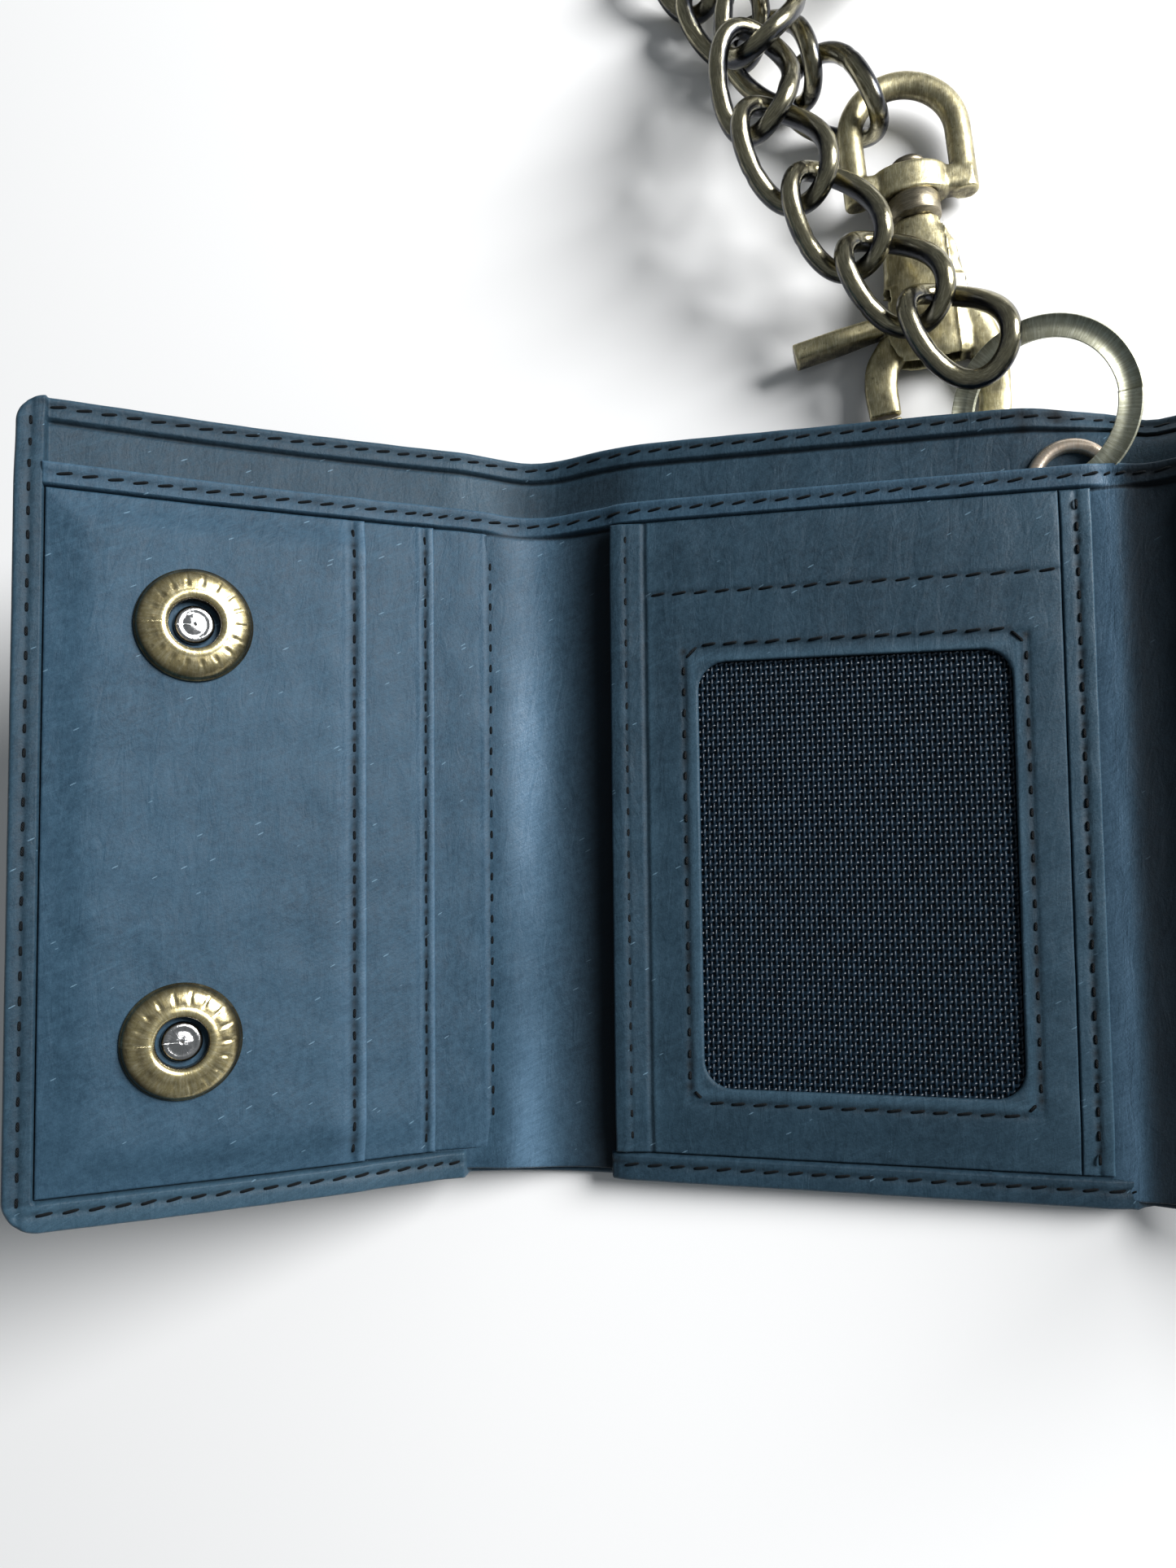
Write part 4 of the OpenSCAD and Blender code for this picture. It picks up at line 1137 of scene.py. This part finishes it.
turned("snap_stud_bodies", STUD, STUD_AT, SNAP_METAL, "antique_brass", "right_flap",
       "snap_studs", lambda r, z: 0.35 + 0.5 * (z > 1.6) + 0.3 * bump(r, 4.9, 0.4), flip=-1)
RIVET = [(0.01, -1.2), (0.9, -1.2), (0.9, 1.6), (1.05, 1.75), (0.95, 1.92), (0.01, 2.0)]
turned("stud_rivet_shanks", RIVET, STUD_AT, STEEL, "nickel_steel", "right_flap",
       "stud_rivets", level(0.5), 32, flip=-1)

EYELET_AT = (83.4, 43.0, 0.0)
EYELET = [(4.0, -0.28), (3.95, 1.4), (3.98, 1.8), (4.2, 2.2), (4.55, 2.42), (4.95, 2.45),
          (5.4, 2.28), (5.75, 1.95), (5.92, 1.6), (5.88, 1.3), (5.6, 1.24), (4.42, 1.22),
          (4.42, -0.28)]
turned("eyelet_barrel", EYELET, [EYELET_AT], EYELET_METAL, "eyelet_metal", "centre_panel",
       "eyelet", lambda r, z: 0.5 + 0.4 * (z > 1.8))
WASHER = [(4.46, -0.3), (4.46, -0.08), (5.5, -0.05), (5.5, -0.2), (5.35, -0.32), (4.9, -0.4)]
turned("eyelet_back_washer", WASHER, [EYELET_AT], EYELET_METAL, "eyelet_metal",
       "centre_panel", "eyelet_washer", level(0.5))

# ---- key ring


def node_points(node):
    """The points of a CAD node, in millimetres."""
    vertices = frame["nodes"][node].data.vertices
    co = np.zeros(len(vertices) * 3)
    vertices.foreach_get("co", co)
    return co.reshape(-1, 3) / MM


def ring_frame(node):
    """Centre, axes, outer radius and thickness of a flat round ring, from its points."""
    co = node_points(node)
    axes = np.linalg.svd(co - co.mean(0), full_matrices=False)[2]
    if np.linalg.det(axes) < 0:
        axes[2] *= -1
    local = co @ axes.T
    lo, hi = local.min(0), local.max(0)
    return ((lo + hi) / 2) @ axes, axes, (hi[0] - lo[0]) / 2, hi[2] - lo[2]


RING_BAND = 3.0
RING_PLAY = 0.02
RING_SOFT = 0.16
RING_GAP = math.radians(13)
RING_RINGS = 420


def build_key_ring():
    """Two turns of flat wire, with the step where one turn crosses to the other."""
    centre, axes, radius, thick = ring_frame("key_ring")
    angles = np.linspace(RING_GAP, 4 * math.pi - RING_GAP, RING_RINGS)
    crossing = step(angles, 2 * math.pi - RING_GAP, 2 * math.pi + RING_GAP)
    r = radius - RING_BAND / 2
    local = rows(r * np.cos(angles), r * np.sin(angles), thick / 4 * (2 * crossing - 1))
    half_w, half_t = RING_BAND / 2, (thick / 2 - RING_PLAY) / 2
    section = []
    for su, sv in ((1, 1), (-1, 1), (-1, -1), (1, -1)):
        for a in np.radians([0, 45, 90]):
            c, s = RING_SOFT * (1 - math.cos(a)), RING_SOFT * (1 - math.sin(a))
            c, s = (s, c) if su * sv > 0 else (c, s)
            section.append((su * (half_w - c), sv * (half_t - s)))
    section = np.array(section)
    co, faces = sweep(local, section)
    flat = rows(section[:, 0], (angles * radius)[:, None], section[:, 1])
    obj = piece("split_key_ring", co @ axes + centre, faces, RING_METAL, "brushed_brass",
                flat=flat, wear=np.full(len(co), 0.55))
    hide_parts("key_ring")
    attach(obj, "ring")


build_key_ring()

# ---- chain

LINKS = 19
LINK = (8.25, 5.2, 2.15)        # half length, half width and twist of the wire's centre line
WIRE_R = 1.41
WELD = 0.07
LAST_ROLLS = (15, 31, 48)       # how the last links turn on edge, in degrees
LINK_RINGS = 72
LINK_SIDES = 16
SHADE_STEP = 13.7


def link_shape():
    """One twisted oval link, with a weld in the middle of one side, its wear and flat places."""
    t = np.arange(LINK_RINGS)[:, None] * 2 * math.pi / LINK_RINGS
    s = np.arange(LINK_SIDES) * 2 * math.pi / LINK_SIDES
    a, b, c = LINK
    centre = rows(a * np.cos(t), b * np.sin(t), c * np.sin(2 * t))
    out, up = sides_of(unit(rows(-a * np.sin(t), b * np.cos(t), 2 * c * np.cos(2 * t))))
    radius = WIRE_R * (1 - WELD * bump(t, math.pi / 2, 0.035))[..., None]
    ring = np.cos(s)[:, None] * out[:, None] + np.sin(s)[:, None] * up[:, None]
    co = (centre[:, None] + radius * ring).reshape(-1, 3)
    wear = 0.25 + 0.75 * np.abs(np.sin(s)) ** 1.5 + 0.15 * np.cos(s) + 0 * t
    return (co, tube_faces(LINK_RINGS, LINK_SIDES, True), wear.ravel(),
            rows(t * 7, s * WIRE_R, 0.0))


def chain_joints():
    """Where the links hang in each other, in millimetres, from the frame's joints."""
    places = {j["name"]: np.array(j["pos_m"]) / MM for j in frame["joints"]}
    names = [f"link_{k:02d}_bend" for k in range(1, LINKS + 1)] + ["loop_swing"]
    return [places[name] for name in names]


def build_chain():
    co, faces, wear, flat = link_shape()
    joints = chain_joints()
    rolls = [0] * (LINKS - len(LAST_ROLLS)) + list(LAST_ROLLS)
    for k, (a, b, roll) in enumerate(zip(joints, joints[1:], rolls), 1):
        ex = unit(b - a)
        heading = math.atan2(ex[1], ex[0])
        ey = np.array([-math.sin(heading), math.cos(heading), 0])
        ez = np.cross(ex, ey)
        c, s = math.cos(math.radians(roll)), math.sin(math.radians(roll))
        axes = np.stack([ex, ey * c + ez * s, ez * c - ey * s])
        obj = piece(f"curb_link_{k:02d}", co @ axes + (a + b) / 2, faces, CHAIN_METAL,
                    "chain_brass", flat=flat + SHADE_STEP * (k - 1), wear=wear)
        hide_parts(f"chain_link_{k:02d}")
        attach(obj, f"link_{k:02d}")


build_chain()

# ---- clasp

CLASP_AT = np.array([67.3, 57.0, 2.45])
CLASP_TURN = math.radians(5.5)
CLASP_PITCH = math.radians(2.5)
LOOP_ROLL = math.radians(8)
PIVOT = np.array([0.5, 15.2])
HOOK = (7.8, 1.2, 5.0)          # radius, height of its centre, and its straight run
LEVER_TIP = np.array([-18.6, 12.2])
BAR_Y = 35.3
LOOP = (8.0, 43.5, 1.9)         # radius, height of its centre, and the rod's radius
SLOT = 1.6                      # half the gate's slot, and where it ends
SLOT_X = 3.8
SLOT_Y = 19.3
SHAFT_R = 1.6
BAR_SIDES = 28
BAR_SOFTENING = 14
DISC_SOFT = 0.3
WEAR_SPREAD = 6
PIN_WEAR = 0.5


def in_clasp(co, roll=0.0):
    """From the clasp's own frame, +Y towards the swivel, to the row frame."""
    turn = Matrix.Rotation(CLASP_TURN, 3, "Z") @ Matrix.Rotation(CLASP_PITCH, 3, "X") \
        @ Matrix.Rotation(roll, 3, "Y")
    return co @ np.array(turn).T + CLASP_AT + SHIFT


def cast(name, parts, node, body, roll=0.0, voxel=0.2, rounds=9):
    """One casting from overlapping closed shapes: fused, softened and worn on its high spots."""
    co, faces = merged([(in_clasp(points, roll), f) for points, f in parts])
    mesh = bpy.data.meshes.new(name)
    mesh.from_pydata((co * MM).tolist(), [], faces)
    obj = in_scene(name, mesh)
    fuse = obj.modifiers.new("fuse", "REMESH")
    fuse.mode = "VOXEL"
    fuse.voxel_size = voxel * MM
    obj.modifiers.new("soften", "SMOOTH").iterations = rounds
    graph = bpy.context.evaluated_depsgraph_get()
    made = bpy.data.meshes.new_from_object(obj.evaluated_get(graph))
    obj.modifiers.clear()
    obj.data = made
    made.name = name
    made.materials.clear()
    made.materials.append(CLASP_METAL)
    made.shade_smooth()
    count = len(made.vertices)
    co, normals = np.zeros(count * 3), np.zeros(count * 3)
    made.vertices.foreach_get("co", co)
    made.vertex_normals.foreach_get("vector", normals)
    co, normals = co.reshape(-1, 3) / MM, normals.reshape(-1, 3)
    edges = np.zeros(len(made.edges) * 2, int)
    made.edges.foreach_get("vertices", edges)
    pairs = [edges.reshape(-1, 2).T, edges.reshape(-1, 2).T[::-1]]
    bend, near = np.zeros(count), np.zeros(count)
    for a, b in pairs:
        d = co[b] - co[a]
        away = -(d * normals[a]).sum(1) / np.maximum(np.linalg.norm(d, axis=1), 1e-9)
        bend += np.bincount(a, away, count)
        near += np.bincount(a, minlength=count)
    near = np.maximum(near, 1)
    bend /= near
    for _ in range(WEAR_SPREAD):
        spread = sum(np.bincount(a, bend[b], count) for a, b in pairs)
        bend = 0.5 * bend + 0.5 * spread / near
    put(made, "flat", co)
    put(made, "wear", np.clip(0.42 + 3.2 * bend + 0.25 * normals[:, 2], 0, 1))
    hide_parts(node)
    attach(obj, body)


def squared(sides, power):
    """Cosines and sines round a circle, raised to a power: below 1 the circle turns square."""
    s = np.arange(sides) * 2 * math.pi / sides
    return [np.sign(f(s)) * np.abs(f(s)) ** power for f in (np.cos, np.sin)]


def bar(points, widths, thicks, power=2.6):
    """A bar along points in the clasp's plane, with its own width and thickness at each."""
    points = np.asarray(points, float)
    fine = np.linspace(0, len(points) - 1, 12 * (len(points) - 1) + 1)
    at = np.arange(len(points))
    line = np.stack([np.interp(fine, at, points[:, k]) for k in range(3)], 1)
    w, t = (np.interp(fine, at, np.broadcast_to(a, len(points))) for a in (widths, thicks))
    for _ in range(BAR_SOFTENING):
        line[1:-1] = (line[:-2] + 2 * line[1:-1] + line[2:]) / 4
    cx, cy = squared(BAR_SIDES, 2 / power)
    return sweep(line, np.stack([w[:, None] * cx, t[:, None] * cy], -1))


def disc(x, y, radius, low, high):
    flat = radius - DISC_SOFT
    profile = [(0.01, low), (flat, low), (radius, low + DISC_SOFT), (radius, high - DISC_SOFT),
               (flat, high), (0.01, high)]
    co, faces = lathe(profile, 40)
    return co + [x, y, 0], faces


def body_loft(x_low, y_low, z_low, z_high):
    """The clasp's body, cut off at the given sides."""
    ys = np.array([7.6, 8.6, 11, 15, 19, 22, 24.5, 26.2, 27.4, 29.2])
    half = np.array([5.8, 6.6, 7.0, 6.5, 5.9, 5.5, 5.3, 4.6, 3.6, 3.2])
    deep = np.array([2.0, 2.5, 2.75, 2.8, 2.85, 2.8, 2.7, 2.7, 2.7, 2.7])
    fine = np.linspace(ys[0], ys[-1], 60)
    cx, cz = squared(40, 0.85)
    section = np.stack([np.interp(fine, ys, half)[:, None] * cx,
                        np.interp(fine, ys, deep)[:, None] * cz], -1)
    co, faces = sweep(rows(0.0, fine, 0.0), section)
    co[:, :2] = np.maximum(co[:, :2], (x_low, y_low))
    co[:, 2] = np.clip(co[:, 2], z_low, z_high)
    return co, faces


def build_clasp():
    r, y0, rise = HOOK
    bend = np.radians(np.linspace(0, -172, 24))
    path = [(4.2, 15.5, -0.1), (6.2, 12.0, -0.1), (7.4, 8.5, -0.2), (r, y0 + rise, -0.3)]
    path += [(r * math.cos(a), y0 + r * math.sin(a), -0.88) for a in bend]
    path = np.array(path)
    free = step(path[:, 1], 1.0, 7.0)
    hook = bar(path, 2.3 + 0.3 * free, 1.08 + 0.95 * free)
    past = 9
    parts = [hook, body_loft(-past, 0, SLOT, past), body_loft(-past, 0, -past, -SLOT),
             body_loft(SLOT_X, 0, -past, past), body_loft(-past, SLOT_Y, -past, past)]
    cast("clasp_hook_cast", parts, "clasp_hook", "clasp")
    arm = bar([(-1.5, 13.6, 0), (-5.0, 11.2, 0), (-7.5, 8.0, 0), (-8.0, 4.8, 0), (-7.8, 0.6, 0)],
              [2.3, 2.5, 2.45, 2.4, 2.3], [1.3, 1.3, 1.35, 1.35, 1.3])
    lever = bar([(0, 15.4, 0), (-5, 14.6, 0), (-9, 13.9, 0.2), (-13, 13.2, 0.35),
                 (LEVER_TIP[0] - 1.2, LEVER_TIP[1], 0.35)],
                [2.4, 1.8, 1.5, 1.55, 1.55], [1.3, 1.35, 2.0, 2.45, 2.4], 3.0)
    hub = disc(*PIVOT, 2.85, -1.3, 1.3)
    cast("gate_lever_cast", (arm, lever, hub), "gate_lever", "gate", voxel=0.18, rounds=6)


def build_loop():
    w, y1, rod = LOOP
    turn = np.radians(np.linspace(0, 180, 40))
    path = [(w, BAR_Y - 2.2, 0), (w, BAR_Y + 3, 0)]
    path += [(w * math.cos(a), y1 + w * math.sin(a), 0) for a in turn]
    path += [(-w, BAR_Y + 3, 0), (-w, BAR_Y - 2.2, 0)]
    frame_rod = bar(path, rod, rod - 0.1, 2.0)
    profile = [(SHAFT_R, -2.25), (5.2, -2.25), (5.6, -1.9), (5.6, 1.8), (5.1, 2.2), (SHAFT_R, 2.2)]
    co, faces = lathe(profile, 64)
    drum = np.stack([co[:, 0], co[:, 2] + BAR_Y, co[:, 1] * 0.62], 1), [f[::-1] for f in faces]
    stubs = [bar([(side * x, BAR_Y - 0.1, 0) for x in (4.9, 7, 8.9)], 2.05, 1.9, 3.2)
             for side in (-1, 1)]
    cast("swivel_loop_cast", (frame_rod, drum, *stubs), "swivel_loop", "loop", LOOP_ROLL)


def build_rivet():
    """The swivel's shaft, its collar and its head, which turn with the clasp."""
    profile = [(0.01, 20.5), (1.45, 20.5), (1.45, 29.45), (3.7, 29.5), (3.9, 29.8), (3.9, 32.4),
               (3.6, 32.9), (1.48, 32.95), (1.48, 37.75), (2.5, 37.75), (2.65, 38.2),
               (2.4, 38.8), (1.6, 39.2), (0.01, 39.3)]
    co, faces = lathe(profile, 48)
    co = co[:, [0, 2, 1]]
    flat = co * [1, 2, 1]
    wear = 0.3 + 0.5 * (np.hypot(co[:, 0], co[:, 2]) > 2.4)
    obj = piece("swivel_rivet_turned", in_clasp(co), [f[::-1] for f in faces], PIN_METAL,
                "pin_steel", flat=flat, wear=wear)
    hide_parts("swivel_rivet")
    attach(obj, "clasp")


build_clasp()
build_loop()
build_rivet()
for node in ("gate_pin", "gate_spring"):
    mesh, places = frame["nodes"][node].data, node_points(node)
    put(mesh, "flat", places)
    put(mesh, "wear", np.full(len(places), PIN_WEAR))
    mesh.materials.clear()
    mesh.materials.append(PIN_METAL)

# ---- stage, light and camera


FLOOR_HALF = 2.5
FLOOR_DROP = 0.0002
WORLD_COLOUR = (0.9, 0.96, 1, 1)
WORLD_STRENGTH = 0.18
KEY_AT = Vector((0.86, 0.34, 0.56))
KEY_SIZE = 0.6
KEY_WATTS = 26.5


def build_floor():
    n = Nodes("pale_floor")
    tone = n.noise(n.add("ShaderNodeTexCoord").outputs["Object"], 3.0, 2.0)
    n.finish(n.blend(tone, (0.9, 0.9, 0.9), (0.94, 0.94, 0.94)), 0.9)
    mesh = bpy.data.meshes.new("floor")
    mesh.from_pydata([(x * FLOOR_HALF, y * FLOOR_HALF, 0)
                      for x, y in ((-1, -1), (1, -1), (1, 1), (-1, 1))], [], [(0, 1, 2, 3)])
    mesh.materials.append(n.mat)
    floor = in_scene("floor", mesh)
    floor.location.z = -FLOOR_DROP


def build_light():
    world = bpy.data.worlds.new("studio")
    world.use_nodes = True
    background = world.node_tree.nodes["Background"]
    background.inputs[0].default_value = WORLD_COLOUR
    background.inputs[1].default_value = WORLD_STRENGTH
    bpy.context.scene.world = world
    light = bpy.data.lights.new("key", "AREA")
    light.shape = "DISK"
    light.size = KEY_SIZE
    light.energy = KEY_WATTS
    obj = in_scene("key", light)
    obj.location = KEY_AT
    obj.rotation_euler = (-KEY_AT).to_track_quat("-Z", "Y").to_euler()


CAMERA_AT = np.array([51.985, -6.005, 159.505])
CAMERA_TURN = (-3.28, -13.16, 1.39)
IMAGE_HEIGHT = 1927
SENSOR = 36
FOCAL = 1338.96 / IMAGE_HEIGHT * SENSOR


def build_camera():
    """The camera, from its place and its turn about the wallet's own axes."""
    data = bpy.data.cameras.new("camera")
    data.sensor_width = SENSOR
    data.lens = FOCAL
    data.clip_start = 0.01
    x, y, z = (math.radians(a) for a in CAMERA_TURN)
    world_to_camera = Matrix.Rotation(z, 3, "Z") @ Matrix.Rotation(y, 3, "Y") \
        @ Matrix.Rotation(x, 3, "X")
    turn = Matrix.Rotation(LEAN, 3, "X") @ world_to_camera.transposed()
    obj = in_scene("camera", data)
    obj.matrix_world = Matrix.Translation(Vector(to_row(CAMERA_AT) * MM)) @ turn.to_4x4()
    bpy.context.scene.camera = obj


build_floor()
build_light()
build_camera()
bpy.context.scene.view_settings.view_transform = "Standard"

bpy.context.view_layer.update()
